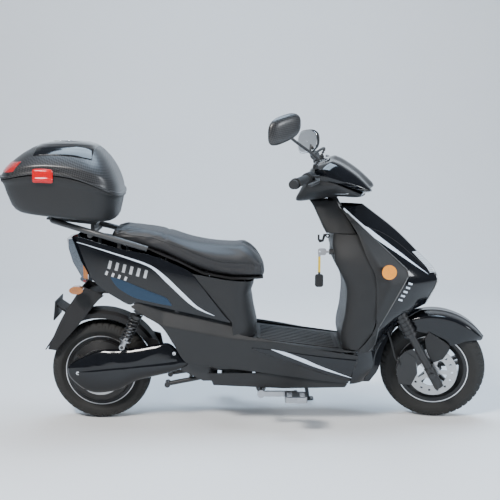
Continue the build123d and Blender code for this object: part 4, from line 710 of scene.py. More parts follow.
def ribbon(path_xz, width, depth, lift, count=60, taper=1.0, widths=None):
    """Thin printed band that follows a path over a body side, lift mm off it.

    Its half width is width / 2 (1 - taper |2u - 1|^6), or a table of widths along u when one is given.
    """
    path = smooth(path_xz, count)
    tangent = np.gradient(path, axis=0)
    tangent /= np.linalg.norm(tangent, axis=1)[:, None]
    normal = np.stack([-tangent[:, 1], tangent[:, 0]], axis=1)
    along = np.linspace(0, 1, count)
    if widths:
        half = np.interp(along, *widths) / 2
    else:
        half = width / 2 * (1 - taper * np.abs(2 * along - 1) ** 6)
    across = np.linspace(-1, 1, 5)[:, None, None]
    plane = path[None] + across * half[None, :, None] * normal[None]
    y = depth(plane[..., 0], plane[..., 1]) - lift
    return both_sides(np.stack([plane[..., 0], y, plane[..., 1]], axis=-1))


class SCOOTER_OT_rear_body(bpy.types.Operator):
    """Rear side panels, their stripes, trim plates and badges"""

    bl_idname = "scooter.rear_body"
    bl_label = "Rear body"

    def execute(self, context):
        sizes = context.scene.scooter_sizes
        lower = [(-676, 712), (-655, 672), (-622, 606), (-590, 566), (-545, 530), (-500, 502), (-455, 479),
                 (-420, 489), (-350, 476), (-289, 463), (-180, 439), (-76, 414)]
        upper = [(-676, 722), (-660, 729), (-620, 724), (-560, 711), (-479, 692), (-371, 670), (-290, 640),
                 (-220, 606), (-188, 566), (-140, 500), (-100, 446), (-72, 416)]
        grid = patch(lower, upper, 40, 110, panel_side)
        add(
            "rear_side_panels", both_sides(grid), "gloss", "chassis", "gloss_black", "rear_panels",
            wall=sizes.panel_thickness,
        )
        stripes = ribbon(
            [(-656, 709), (-600, 699), (-536, 683), (-450, 657), (-392, 638), (-352, 616), (-300, 568),
             (-219, 489), (-176, 460), (-133, 441)],
            None, panel_side, 0.7, widths=([0, 0.25, 0.5, 0.62, 0.8, 0.9, 1], [2, 5, 8, 16, 15, 8, 1]),
        )
        add("rear_stripes", stripes, "stripe", "chassis", "gloss_black")
        plate = patch(
            [(-523, 583), (-500, 549), (-470, 527), (-431, 507), (-360, 490), (-296, 478)],
            [(-521, 586), (-487, 578), (-430, 556), (-370, 532), (-315, 510), (-292, 481)], 16, 60,
            lambda x, z: panel_side(x, z) - 1.6,
        )
        add("trim_plates", both_sides(plate), "blue", "chassis", "gloss_black", wall=0.002)
        bars = []
        rows = ((6, -528, 632, 27, 4, 15, 11), (4, -540, 600, 24, 3, 7, 9))
        for number, x, z, pitch, lean, half, width in rows:
            for k in range(number):
                bar = np.array([(0, -half), (lean, 0), (2 * lean, half)]) + (x + pitch * k, z - 6.5 * k)
                bars += ribbon(bar, width, panel_side, 0.8, 12, 0.0)
        add("panel_badges", bars, "silver", "chassis", "gloss_black")
        return {"FINISHED"}


class SCOOTER_OT_sills(bpy.types.Operator):
    """Side sills with their stripes, and the cover under the seat"""

    bl_idname = "scooter.sills"
    bl_label = "Sills and seat cover"

    def execute(self, context):
        sizes = context.scene.scooter_sizes
        upper = [(-447, 476), (-420, 486), (-386, 481), (-237, 448), (-110, 420), (-66, 402), (-36, 368),
                 (60, 351), (200, 325), (320, 301), (410, 284)]
        lower = [(-446, 472), (-400, 440), (-335, 400), (-290, 330), (-256, 268), (-226, 248), (-162, 243),
                 (0, 223), (150, 204), (300, 183), (374, 173)]
        grid = patch(lower, upper, 44, 130, sill_side)
        add(
            "sill_panels", both_sides(grid), "grained", "chassis", "textured_black", "side_sills",
            wall=sizes.panel_thickness,
        )
        x = np.linspace(-46, 398, 60)
        top = np.interp(x, [-46, 398], [357, 297])
        outer = -sill_side(x, top)
        k = np.linspace(0, 1, 6)[:, None]
        lip = np.stack([x + 0 * k, -(150 + (outer - 150) * k), top + 4 - 6 * k**2], axis=-1)
        add("floor_edges", both_sides(lip[::-1]), "grained", "chassis", "textured_black", wall=0.003)
        spear = patch(
            [(6, 317), (90, 282), (180, 250), (280, 215), (384, 180)],
            [(8, 319), (100, 309), (189, 297), (300, 282), (409, 268)], 14, 60,
            lambda x, z: sill_side(x, z) - 1.4,
        )
        add("sill_spears", both_sides(spear), "gloss", "chassis", "gloss_black", wall=0.0015, bevel=0)
        band = ribbon(
            [(80, 314), (134, 296), (200, 270), (255, 246), (330, 217), (396, 192)], None,
            lambda x, z: sill_side(x, z) - 1.6, 0.8, widths=([0, 0.15, 0.4, 0.7, 1], [2, 13, 15, 8, 1]),
        )
        add("sill_stripes", band, "stripe", "chassis", "textured_black")
        # cover under the seat, wrapped from one side over the front to the other
        half = [(-214, 155), (-140, 155), (-60, 153), (-20, 138), (6, 104), (18, 60), (21, 0)]
        plan = smooth(half + [(x, -y) for x, y in reversed(half[:-1])], 120)
        x, y = plan[:, 0], plan[:, 1]
        low = np.where(x < -66, 412 + (-66 - x) * 1.27, 352.0)
        high = np.interp(x, [-214, -100, -20, 21], [600, 578, 568, 560])
        low = np.minimum(low, high - 2)
        t = np.linspace(0, 1, 40)[:, None]
        z = low[None] + (high - low)[None] * t
        lean = np.interp(z, [347, 393, 450, 517, 548], [2, 2, -10, -20, -9])
        front = np.clip((x[None] + 70) / 90, 0, 1) ** 2
        grid = np.stack([x + lean * front, y + 0 * z, z], axis=-1)
        add(
            "seat_skirt", [sheet_grid(grid)], "grained", "chassis", "textured_black", "underseat_cover",
            wall=sizes.panel_thickness,
        )
        return {"FINISHED"}


APRON_Z = [172, 207, 300, 340, 400, 447, 500, 562, 600, 650, 750, 845]
APRON_REAR = [379, 388, 408, 440, 474, 474, 474, 472, 466, 442, 402, 340]
APRON_NOSE = [458, 484, 512, 536, 600, 668, 704, 728, 710, 662, 560, 437]
APRON_HALF = [145, 147, 150, 153, 158, 161, 163, 164, 160, 150, 112, 62]
APRON_TIP = [110, 110, 96, 86, 66, 58, 52, 50, 46, 40, 30, 22]
FLANK_Z = [290, 323, 394, 588, 612, 842]
FLANK_X = [440, 473, 481, 594, 588, 340]
ARCH_Z = [172, 207, 312, 360, 400, 447]
ARCH_X = [458, 484, 519, 548, 590, 668]


def flank_half(a, half, tip, length):
    """Half width at share a of a flank: half + (tip - half) a^1.25, bowed outwards by a parabola."""
    return half + (tip - half) * a**1.25 + 4 * a * (1 - a) * 0.055 * length


def apron_section(z, k):
    """Half section of the apron at height z: k runs 0 at the rear edge to 1 at the middle of the nose.

    Up to k = 0.8 the point runs along the flank from the rear edge to the nose's corner; from there it
    rounds the nose on an ellipse to y = 0.
    """
    rear, nose = ease(z, APRON_Z, APRON_REAR), ease(z, APRON_Z, APRON_NOSE)
    half, tip = ease(z, APRON_Z, APRON_HALF), ease(z, APRON_Z, APRON_TIP)
    a = np.clip(k / 0.8, 0, 1)
    b = np.clip((k - 0.8) / 0.2, 0, 1) * pi / 2
    corner = nose - 0.22 * tip
    x = rear + (corner - rear) * a + (nose - corner) * np.sin(b)
    return x, np.where(b > 0, tip * np.cos(b), flank_half(a, half, tip, corner - rear))


def apron_side(x, z):
    """y of the apron's right flank at (x, z)."""
    rear, nose = ease(z, APRON_Z, APRON_REAR), ease(z, APRON_Z, APRON_NOSE)
    half, tip = ease(z, APRON_Z, APRON_HALF), ease(z, APRON_Z, APRON_TIP)
    length = nose - 0.22 * tip - rear
    return -flank_half(np.clip((x - rear) / length, 0, 1), half, tip, length)


class SCOOTER_OT_apron(bpy.types.Operator):
    """Front apron with its stripes, the headlight and the light bar"""

    bl_idname = "scooter.apron"
    bl_label = "Apron and headlight"

    def execute(self, context):
        sizes = context.scene.scooter_sizes
        k = np.concatenate([np.linspace(0, 0.8, 34, endpoint=False), np.linspace(0.8, 1, 14)])[None]
        low = 447 + 16 * np.clip((k - 0.55) / 0.25, 0, 1) ** 2
        zz = low + (845 - low) * np.linspace(0, 1, 90)[:, None]
        x, y = apron_section(zz, k)
        shell = front_halves(x, y, zz)
        z = np.linspace(172, 447, 60)[:, None]
        edge = ease(z, ARCH_Z, ARCH_X)
        rear = ease(z, APRON_Z, APRON_REAR)
        x = rear + (edge - rear) * np.linspace(0, 1, 26)[None]
        zz = np.broadcast_to(z, x.shape)
        leg = np.stack([x, apron_side(x, zz), zz], axis=-1)
        add(
            "apron_shell", [shell, *both_sides(leg)], "gloss", "chassis", "gloss_black", "front_apron",
            wall=sizes.panel_thickness,
        )
        bands = ribbon(
            [(354, 836), (385, 806), (418, 778), (450, 752), (500, 715), (560, 672), (620, 628), (680, 585)],
            None, apron_side, 0.9, widths=([0, 0.05, 0.24, 0.27, 0.4, 0.7, 1], [6, 9, 9, 17, 16, 9, 1]),
        )
        add("apron_stripes", bands, "stripe", "chassis", "gloss_black")
        line = smooth([(432, 772), (500, 744), (560, 706), (620, 655), (668, 612)], 60)
        seam = np.stack([line[:, 0], apron_side(line[:, 0], line[:, 1]), line[:, 1]], axis=1)
        add("apron_seams", mirrored_tubes(seam, 1.3), "matte", "chassis", "textured_black")
        z = np.linspace(296, 836, 110)[:, None]
        rear = ease(z, APRON_Z, APRON_REAR) - 2
        edge = np.maximum(np.interp(z, FLANK_Z, FLANK_X), rear + 1)
        x = rear + (edge - rear) * np.linspace(0, 1, 26)[None]
        zz = np.broadcast_to(z, x.shape)
        swell = np.exp(-(((x - np.interp(z, [296, 400, 560, 836], [452, 452, 528, 345])) / 26) ** 2))
        rise = 3.2 + 7.0 * swell * (edge - rear > 20)
        flank = np.stack([x, apron_side(x, zz) - rise, zz], axis=-1)
        add("flank_covers", both_sides(flank), "grained", "chassis", "textured_black", wall=0.003, angle=30)
        stretches = ((820, 606, 50), (600, 400, 50), (394, 330, 20), (322, 300, 8))
        z = np.concatenate([np.linspace(*stretch) for stretch in stretches])
        x = np.interp(z, FLANK_Z, FLANK_X) + 2.0
        edge = np.stack([x, apron_side(x, z) - 3.0, z], axis=1)
        add("flank_trim", mirrored_tubes(edge, 2.4), "trim", "chassis", "textured_black")
        bars = []
        for k in range(5):
            x, z = 566 + 9.5 * k, 497 + 15 * k
            bars += ribbon([(x - 8, z + 3), (x, z), (x + 8, z - 3)], 7, apron_side, 0.9, 10, 0.0)
        add("apron_badges", bars, "stripe", "chassis", "gloss_black")
        for name, low, high, start, finish, nodes in (
            ("head_lens", 588, 668, 0.735, "lens", ["headlight"]), ("light_bar", 470, 575, 0.81, "light", []),
        ):
            z = np.linspace(low, high, 24)[:, None]
            x, y = apron_section(z, np.linspace(start, 1, 24)[None])
            swell = 2.2 * np.sin(pi * np.linspace(0, 1, 24))[:, None] ** 0.4
            grid = front_halves(x + swell, y + swell * 0.5, z + 0 * x)
            add(name, [grid], finish, "chassis", "head_lens", *nodes, wall=0.004)
        return {"FINISHED"}


SHIELD_Z = [312, 348, 447, 546, 659, 697, 742]
SHIELD_BACK = [352, 346, 360, 362, 313, 310, 316]
SHIELD_SIDE = [414, 444, 476, 476, 440, 424, 403]
SHIELD_HALF = [151, 156, 163, 165, 149, 134, 109]
COLUMN_Z = [744, 800, 843, 864]
COLUMN_BACK = [288, 262, 241, 227]
COLUMN_SIDE = [398, 366, 336, 326]
COLUMN_HALF = [101, 72, 56, 46]


def wrap(z, back, side, half, count=61):
    """Plan of a shield open to the front: a flat back with rounded corners and two flanks.

    s runs -1 to 1; y = half * s, and x eases from the flank to the back as 1 - |s|^6 does.
    """
    s = np.linspace(-1, 1, count)[None]
    lift = np.abs(s)
    turn = np.clip((lift - 0.62) / 0.38, 0, 1)
    y = np.sign(s) * (half * np.minimum(lift / 0.62, 1) * 0.74 + half * 0.26 * np.sin(turn * pi / 2))
    x = back + (side - back) * turn**1.6
    return np.stack([x, y, np.broadcast_to(z, x.shape)], axis=-1)


class SCOOTER_OT_shield(bpy.types.Operator):
    """Leg shield and steering column cover"""

    bl_idname = "scooter.shield"
    bl_label = "Leg shield"

    def execute(self, context):
        sizes = context.scene.scooter_sizes
        z = np.linspace(306, 742, 90)[:, None]
        shield = wrap(z, *(ease(z, SHIELD_Z, table) for table in (SHIELD_BACK, SHIELD_SIDE, SHIELD_HALF)))
        out = np.abs(shield[..., 1])
        facet = np.exp(-(((shield[..., 2] - 640) / 46) ** 4)) * np.clip((out - 28) / 18, 0, 1)
        facet *= np.clip((118 - out) / 12, 0, 1)
        shield[..., 0] += 9 * facet
        z = np.linspace(744, 863, 34)[:, None]
        column = wrap(z, *(ease(z, COLUMN_Z, table) for table in (COLUMN_BACK, COLUMN_SIDE, COLUMN_HALF)))
        parts = [sheet_grid(shield, turned=True), sheet_grid(column, turned=True)]
        add(
            "rider_shield", parts, "grained", "chassis", "textured_black", "leg_shield",
            wall=sizes.panel_thickness,
        )
        return {"FINISHED"}


# ---------------------------------------------------------------------------
# Cowl, mirrors, mudguards, covers
# ---------------------------------------------------------------------------
def cross_loft(sections, rows=64, around=84):
    """Closed skin through XZ loops at several y: loops are smooth curves, eased from one to the next in y."""
    ys = np.array(sorted(sections), float)
    loops = np.stack([smooth(sections[y], around, closed=True) for y in sorted(sections)])
    t = np.linspace(-1, 1, rows)
    y = ys[0] + (ys[-1] - ys[0]) * (0.5 + 0.5 * np.sin(t * pi / 2))
    x = np.stack([ease(y, ys, loops[:, k, 0]) for k in range(around)], axis=1)
    z = np.stack([ease(y, ys, loops[:, k, 1]) for k in range(around)], axis=1)
    grid = np.stack([x, np.broadcast_to(y[:, None], x.shape), z], axis=-1)
    first, last = grid[:1].mean(axis=1, keepdims=True), grid[-1:].mean(axis=1, keepdims=True)
    first[..., 1] -= 3
    last[..., 1] += 3
    ends = [first + 0 * grid[:1], grid, last + 0 * grid[-1:]]
    return sheet_grid(np.concatenate(ends), wrap_columns=True)


class SCOOTER_OT_cowl(bpy.types.Operator):
    """Handlebar cowl, its lenses and the dash"""

    bl_idname = "scooter.cowl"
    bl_label = "Cowl"

    def execute(self, context):
        side = [(252, 978), (260, 988), (286, 1000), (300, 1000), (316, 996), (352, 973), (376, 955),
                (372, 951), (336, 951), (272, 962)]
        flank = [(239, 980), (256, 1000), (309, 1018), (318, 1017), (344, 1007), (398, 971), (444, 930),
                 (441, 924), (386, 926), (269, 957)]
        middle = [(240, 982), (268, 1002), (309, 1016), (350, 1004), (408, 965), (452, 919), (455, 914),
                  (438, 896), (352, 925), (269, 957)]
        upper = cross_loft({-132.0: side, -96.0: flank, 0.0: middle, 96.0: flank, 132.0: side})
        add("cowl_top", turned_parts([upper]), "gloss", "steering", "gloss_black", "cowl_upper")
        side = [(246, 976), (270, 960), (338, 947), (336, 932), (300, 922), (262, 914), (236, 920), (230, 940)]
        flank = [(238, 978), (267, 955), (384, 925), (385, 902), (313, 899), (263, 887), (196, 881), (208, 920)]
        middle = [(238, 978), (267, 955), (434, 894), (406, 884), (313, 881), (263, 880), (198, 880), (208, 920)]
        lower = cross_loft({-130.0: side, -96.0: flank, 0.0: middle, 96.0: flank, 130.0: side})
        add("cowl_bottom", turned_parts([lower]), "grained", "steering", "textured_black", "cowl_lower")
        lens = patch(
            [(316, 904), (350, 903), (384, 904)], [(316, 940), (350, 932), (386, 922)], 14, 26,
            lambda x, z: -99.5 - 3 * np.sin(pi * (x - 316) / 70),
        )
        v, y = np.meshgrid(np.linspace(0, 1, 10), np.linspace(-46, 46, 30), indexing="ij")
        front = np.stack([436 + 14 * v - y**2 / 260, y, 886 + 20 * v], axis=-1)
        parts = turned_parts([*both_sides(lens), sheet_grid(front)])
        add("cowl_glass", parts, "lens", "steering", "head_lens", "cowl_lenses", wall=0.004)
        u, v = np.meshgrid(np.linspace(-1, 1, 24), np.linspace(-1, 1, 24), indexing="ij")
        px, py = superellipse(np.arctan2(v, u), 27, 52, 5)
        reach = np.maximum(np.abs(u), np.abs(v))
        x, y = px * reach, py * reach
        dash = np.stack([279 + x * 0.907, y, 1008.5 + x * 0.42 + 2.2 * (1 - reach**4)], axis=-1)
        add("dash_glass", turned_parts([sheet_grid(dash)]), "dash", "steering", "head_lens", wall=0.004)
        return {"FINISHED"}


class SCOOTER_OT_mirrors(bpy.types.Operator):
    """Rear-view mirrors on their stalks"""

    bl_idname = "scooter.mirrors"
    bl_label = "Mirrors"

    def execute(self, context):
        origin = joint_centre("steer")
        for side, direction, cx, cz in (("left", 1, -112.0, 145.0), ("right", -1, -132.0, 268.0)):
            centre = np.array([origin[0] + cx, direction * 292.0, origin[2] + cz])
            yaw = radians(40)
            out = np.array([-cos(yaw), -direction * sin(yaw), 0])
            wide = np.array([-direction * sin(yaw), cos(yaw), 0]) * direction
            up = np.array([0, 0, 1.0])
            angle = np.linspace(0, 2 * pi, 72, endpoint=False)[None]
            a, b = superellipse(angle, 75.0, 48.0, 2.9)
            rim = a[..., None] * wide + ((b - 0.20 * a) * (1 + 0.10 * np.cos(angle)))[..., None] * up
            t = np.linspace(0, pi / 2, 26)[:, None, None]
            shape = rim * np.cos(t) ** 0.6 - 24.0 * np.sin(t) ** 0.9 * out
            bowl = sheet_grid(centre + shape, wrap_columns=True, turned=direction < 0)
            base = np.array([origin[0] - 38, direction * 118.0, origin[2] + 101])
            stalk = smooth([
                base, base + (2, direction * 2, 16), base + (8, direction * 10, 40),
                centre + (22, -direction * 60, -44), centre + (16, -direction * 20, -12),
            ], 50)
            foot = smooth([base + (0, 0, -2), base + (0, 0, 6), base + (1, 0, 14)], 10)
            parts = [bowl, tube(stalk, 5.2, 14), tube(foot, 10.0, 18)]
            glass = centre + out * 0.4 + rim * np.linspace(0, 0.955, 12)[:, None, None]
            lens = sheet_grid(glass, wrap_columns=True, turned=direction > 0)
            body = f"{side}_mirror"
            shell, glass = turned_parts(parts), turned_parts([lens])
            add(f"mirror_shell_{side}", shell, "woven", body, "mirror_case", f"mirror_{side}", angle=50)
            add(f"mirror_glass_{side}", glass, "mirror", body, "mirror_case", wall=0.002, bevel=0)
        return {"FINISHED"}


class SCOOTER_OT_mudguards(bpy.types.Operator):
    """Front mudguard and the gloss cover of the swingarm"""

    bl_idname = "scooter.mudguards"
    bl_label = "Mudguard and swingarm cover"

    def execute(self, context):
        centre = steered(joint_centre("front_wheel_spin"), back=True)
        degrees = np.linspace(35, 128, 110)[:, None]
        angle = np.radians(degrees)
        v = np.linspace(-1, 1, 61)[None]
        edge = ease(degrees, [35, 44, 56, 75, 100, 114, 128], [217, 184, 134, 140, 158, 176, 206])
        width = ease(degrees, [35, 40, 50, 70, 128], [20, 36, 52, 58, 58])
        reach = np.abs(v)
        crown = 229.0 - 7 * np.clip(reach / 0.62, 0, 1) ** 2.5
        fall = np.clip((reach - 0.62) / 0.38, 0, 1)
        radius = crown + (edge - crown) * fall**1.15 + 2.5 * np.exp(-((v / 0.07) ** 2))
        y = np.sign(v) * width * np.sin(np.clip(reach / 0.70, 0, 1) * pi / 2)
        grid = np.stack([radius * np.cos(angle), y + 0 * radius, radius * np.sin(angle)], axis=-1) + centre
        guard = turned_parts([sheet_grid(grid, turned=True)])
        add("wheel_guard", guard, "gloss", "fork", "gloss_black", "front_mudguard", wall=0.003)
        bracket = patch(
            [(722, 246), (706, 266), (692, 300), (684, 340)],
            [(757, 262), (780, 309), (745, 340), (700, 366)], 12, 24,
            lambda x, z: -(72.0 - 9 * np.clip((z - 300) / 70, 0, 1)),
        )
        add("guard_brackets", turned_parts(both_sides(bracket)), "grained", "fork", "frame_paint", wall=0.004)
        outline = [(-699, 222), (-680, 242), (-657, 256), (-574, 291), (-510, 296), (-450, 300), (-357, 316),
                   (-312, 320), (-286, 302), (-262, 272), (-238, 243), (-262, 226), (-310, 208), (-430, 178),
                   (-475, 156), (-513, 138), (-584, 128), (-630, 138), (-664, 160), (-692, 190)]
        ring = smooth(outline, 160, closed=True)
        middle = np.array([-480.0, 222.0])
        t = np.linspace(0, 1, 30)[:, None, None]
        plane = middle + (ring[None] - middle) * t
        x, z, t = plane[..., 0], plane[..., 1], t[..., 0]
        rise = 21.0 * (1 - t**2.6) ** 0.75
        groove = 2.2 * np.exp(-(((z - (232 + 0.10 * (x + 480))) / 4.0) ** 2)) * (t < 0.86)
        cover = sheet_grid(np.stack([x, -(103 + rise - groove), z], axis=-1), wrap_columns=True, turned=True)
        add("arm_cover", [cover], "gloss", "rear_arm", "gloss_black", "swingarm_cover", wall=0.003, bevel=0)
        a = np.linspace(0, 2 * pi, 20, endpoint=False)[None]
        r = np.array([0, 3, 6.5, 7, 7])[:, None]
        h = np.array([1.2, 2.6, 2.6, 2.0, 0])[:, None]
        head = np.stack([r * np.cos(a), -(114 + h + 0 * a), r * np.sin(a)], axis=-1)
        places = ((-660, 206), (-290, 284), (-560, 160))
        screws = [sheet_grid(head + (x, 0, z), wrap_columns=True, turned=True) for x, z in places]
        add("cover_screw_heads", screws, "silver", "rear_arm", "bare_alloy", angle=40)
        return {"FINISHED"}


# ---------------------------------------------------------------------------
# Top box
# ---------------------------------------------------------------------------
BOX_X = -710.0
BOX_LENGTH = 223.0
BOX_WIDTH = 205.0
LID_TOP = 1086
LID_LEAN = 26
BOX_SLOPE = tan(radians(9))


def box_rim(x, y):
    """Height of the parting line: a plane that falls to the front, arched up along the sides."""
    slope = 925 - (x - BOX_X) * BOX_SLOPE
    return slope + 50 * np.abs(y / BOX_WIDTH) ** 3 * np.clip(1 - ((x - BOX_X - 30) / 235) ** 2, 0, 1)


LID_CLIMB = [0.0, 0.10, 0.30, 0.55, 0.76, 0.89, 0.96, 0.99, 1.0]
LID_SHARE = [1.0, 0.98, 0.915, 0.79, 0.64, 0.50, 0.36, 0.20, 0.0]


def box_skin(angle, share, climb, top):
    """Point of the lid: plan superellipse scaled by share, height from the rim by climb towards top."""
    x, y = superellipse(angle, BOX_LENGTH, BOX_WIDTH, 3.6)
    rim = box_rim(BOX_X + x, y)
    wide = np.clip(share * 1.06, 0, np.maximum(share, 0.985))
    return np.stack([BOX_X + LID_LEAN * climb + x * share, y * wide, rim + (top - rim) * climb], axis=-1)


def base_skin(angle, share, drop):
    """Point of the base: plan superellipse scaled by share, drop below a rim that flattens downwards."""
    x, y = superellipse(angle, BOX_LENGTH, BOX_WIDTH, 3.4)
    low = np.clip(-drop / 60, 0, 1)
    level = box_rim(BOX_X + x, y) * (1 - low) + (925 - x * share * BOX_SLOPE * 0.72) * low
    return np.stack([BOX_X + 10 * np.clip(-drop / 110, 0, 1) + x * share, y * share, level + drop], axis=-1)


class SCOOTER_OT_top_box(bpy.types.Operator):
    """Top box: base, lid, plate, latches and rear reflectors"""

    bl_idname = "scooter.top_box"
    bl_label = "Top box"

    def execute(self, context):
        angle = np.linspace(0, 2 * pi, 144, endpoint=False)[None]
        level = 1 - (1 - np.linspace(0, 1, 40)) ** 1.6
        level = 0.045 + 0.955 * level
        share = np.concatenate([[0.985, 1.020, 1.024, 1.020, 1.0], ease(level, LID_CLIMB, LID_SHARE)])
        climb = np.concatenate([[-0.02, -0.02, 0.0, 0.03, 0.04], level])
        share[-1] = 0.0
        outer = box_skin(angle, share[:, None], climb[:, None], LID_TOP)
        within = np.maximum(share[::-1] - 0.022, 0)[:, None]
        inner = box_skin(angle, within, climb[::-1][:, None], LID_TOP - 5)
        skin = sheet_grid(np.concatenate([outer, inner]), wrap_rows=True, wrap_columns=True)
        add("box_lid", [skin], "woven", "lid", "lid_black", "topbox_lid", angle=45)
        level = np.linspace(0.60, 1, 30)[:, None]
        plate = box_skin(angle, ease(level, LID_CLIMB, LID_SHARE) + 0.007 * (1 - level**8), level, LID_TOP)
        plate[..., 0] = np.clip(plate[..., 0], -792, -578)
        plate[..., 2] += 1.3
        plate = sheet_grid(plate, wrap_columns=True)
        add("lid_plate", [plate], "gloss", "lid", "lid_black", wall=0.0015, bevel=0, angle=45)
        share = np.array([0.0, 0.4, 0.70, 0.79, 0.84, 0.885, 0.94, 0.97, 0.985, 1.0, 1.012, 1.012])
        drop = np.array([-118, -118, -117, -114, -107, -92, -52, -26, -18, -15, -12, -4.0])
        outer = base_skin(angle, share[:, None], drop[:, None])
        within = np.maximum(share[::-1] - 0.02, 0)[:, None]
        inner = base_skin(angle, within, np.maximum(drop[::-1], -106)[:, None])
        skin = sheet_grid(np.concatenate([outer, inner]), wrap_rows=True, wrap_columns=True)
        add("box_base", [skin], "grained", "chassis", "textured_black", "topbox_base", angle=45)
        for name, body, s in (("left", "left_latch", 1), ("right", "right_latch", -1)):
            u, v = np.meshgrid(np.linspace(-1, 1, 22), np.linspace(-1, 1, 22), indexing="ij")
            x = -748 + 34 * np.sign(u) * np.abs(u) ** 0.8
            z = box_rim(x, s * BOX_WIDTH) - 7 + 22 * v
            dome = 208.0 + 6.0 * (1 - u**6) * (1 - v**6) + 3.0 * np.exp(-((v + 0.55) / 0.16) ** 2)
            plate = sheet_grid(np.stack([x, s * dome, z], axis=-1), turned=s > 0)
            add(f"latch_plate_{name}", [plate], "latch", body, "latch_red", f"latch_{name}", wall=0.005, angle=50)
        # rear reflectors in the red lens, whose emission paints a faint glow on them
        glow = []
        for start, end in ((196, 236), (124, 164)):
            x, y = superellipse(np.linspace(radians(start), radians(end), 30)[None], 225.5, 207.5, 3.4)
            level = np.linspace(0.16, 0.46, 10)[:, None]
            lean = ease(level, LID_CLIMB, LID_SHARE) + 0.008
            rim = box_rim(BOX_X + x, y)
            z = rim + (LID_TOP - rim) * level
            glow.append(sheet_grid(np.stack(
                [BOX_X + LID_LEAN * level + x * lean, y * np.minimum(lean * 1.06, 0.985), z], axis=-1)))
        add("box_reflectors", glow, "red", "lid", "lamp_lens", wall=0.003)
        bars = []
        for k in range(3):
            x, y = np.meshgrid(np.linspace(-742, -728, 8) + 24 * k, np.linspace(-9, 9, 8), indexing="ij")
            bars.append(sheet_grid(np.stack([x + y * 0.4, y, 1087.9 + 0 * x], axis=-1)))
        add("lid_badge", bars, "silver", "lid", "bare_alloy", wall=0.001, bevel=0)
        return {"FINISHED"}


# ---------------------------------------------------------------------------
# Seat
# ---------------------------------------------------------------------------
SEAT_X = [-524, -518, -500, -456, -327, -220, -126, -60, -13, 28, 48, 56]
SEAT_TOP = [752, 764, 769, 764, 743, 712, 697, 694, 695, 664, 626, 604]
SEAT_SEAM = [742, 746, 750, 748, 722, 675, 640, 631, 630, 622, 608, 600]
SEAT_LOW = [732, 729, 722, 708, 671, 622, 592, 583, 582, 582, 583, 588]
SEAT_HALF = [66, 86, 97, 106, 122, 131, 133, 130, 127, 116, 98, 62]


SEAT_SINK = 8.0
PADDING_FRAMES = 20


def read_points(mesh):
    """Vertex positions as an (n, 3) array."""
    points = np.empty(len(mesh.vertices) * 3)
    mesh.vertices.foreach_get("co", points)
    return points.reshape(-1, 3)


def seat_loops(rows, around, shrink):
    """Seat sections from tail to nose: a flat base, a side wall up to the seam, then a crowned top.

    Around each loop the height is base below the seam, and seam + (top - seam) cos(angle)^0.7 above it.
    """
    x = -524 + 580 * (0.5 - 0.5 * np.cos(np.linspace(0, pi, rows)))
    top, seam = ease(x, SEAT_X, SEAT_TOP) - shrink, ease(x, SEAT_X, SEAT_SEAM) - shrink * 0.4
    low, half = ease(x, SEAT_X, SEAT_LOW) - SEAT_SINK, ease(x, SEAT_X, SEAT_HALF) - shrink
    a = np.linspace(0, 2 * pi, around, endpoint=False)[None]
    s, c = np.sin(a), np.cos(a)
    y = half[:, None] * np.sign(s) * np.abs(s) ** 0.62
    up = np.clip(c, 0, 1) ** 0.72
    down = np.clip(-c, 0, 1) ** 0.30
    z = seam[:, None] + (top - seam)[:, None] * up - (seam - low)[:, None] * down
    z = z + 10 * np.clip(-c, 0, 1) ** 3
    y = y * (1 - 0.07 * down)
    return np.stack([np.broadcast_to(x[:, None], y.shape), y, z], axis=-1)


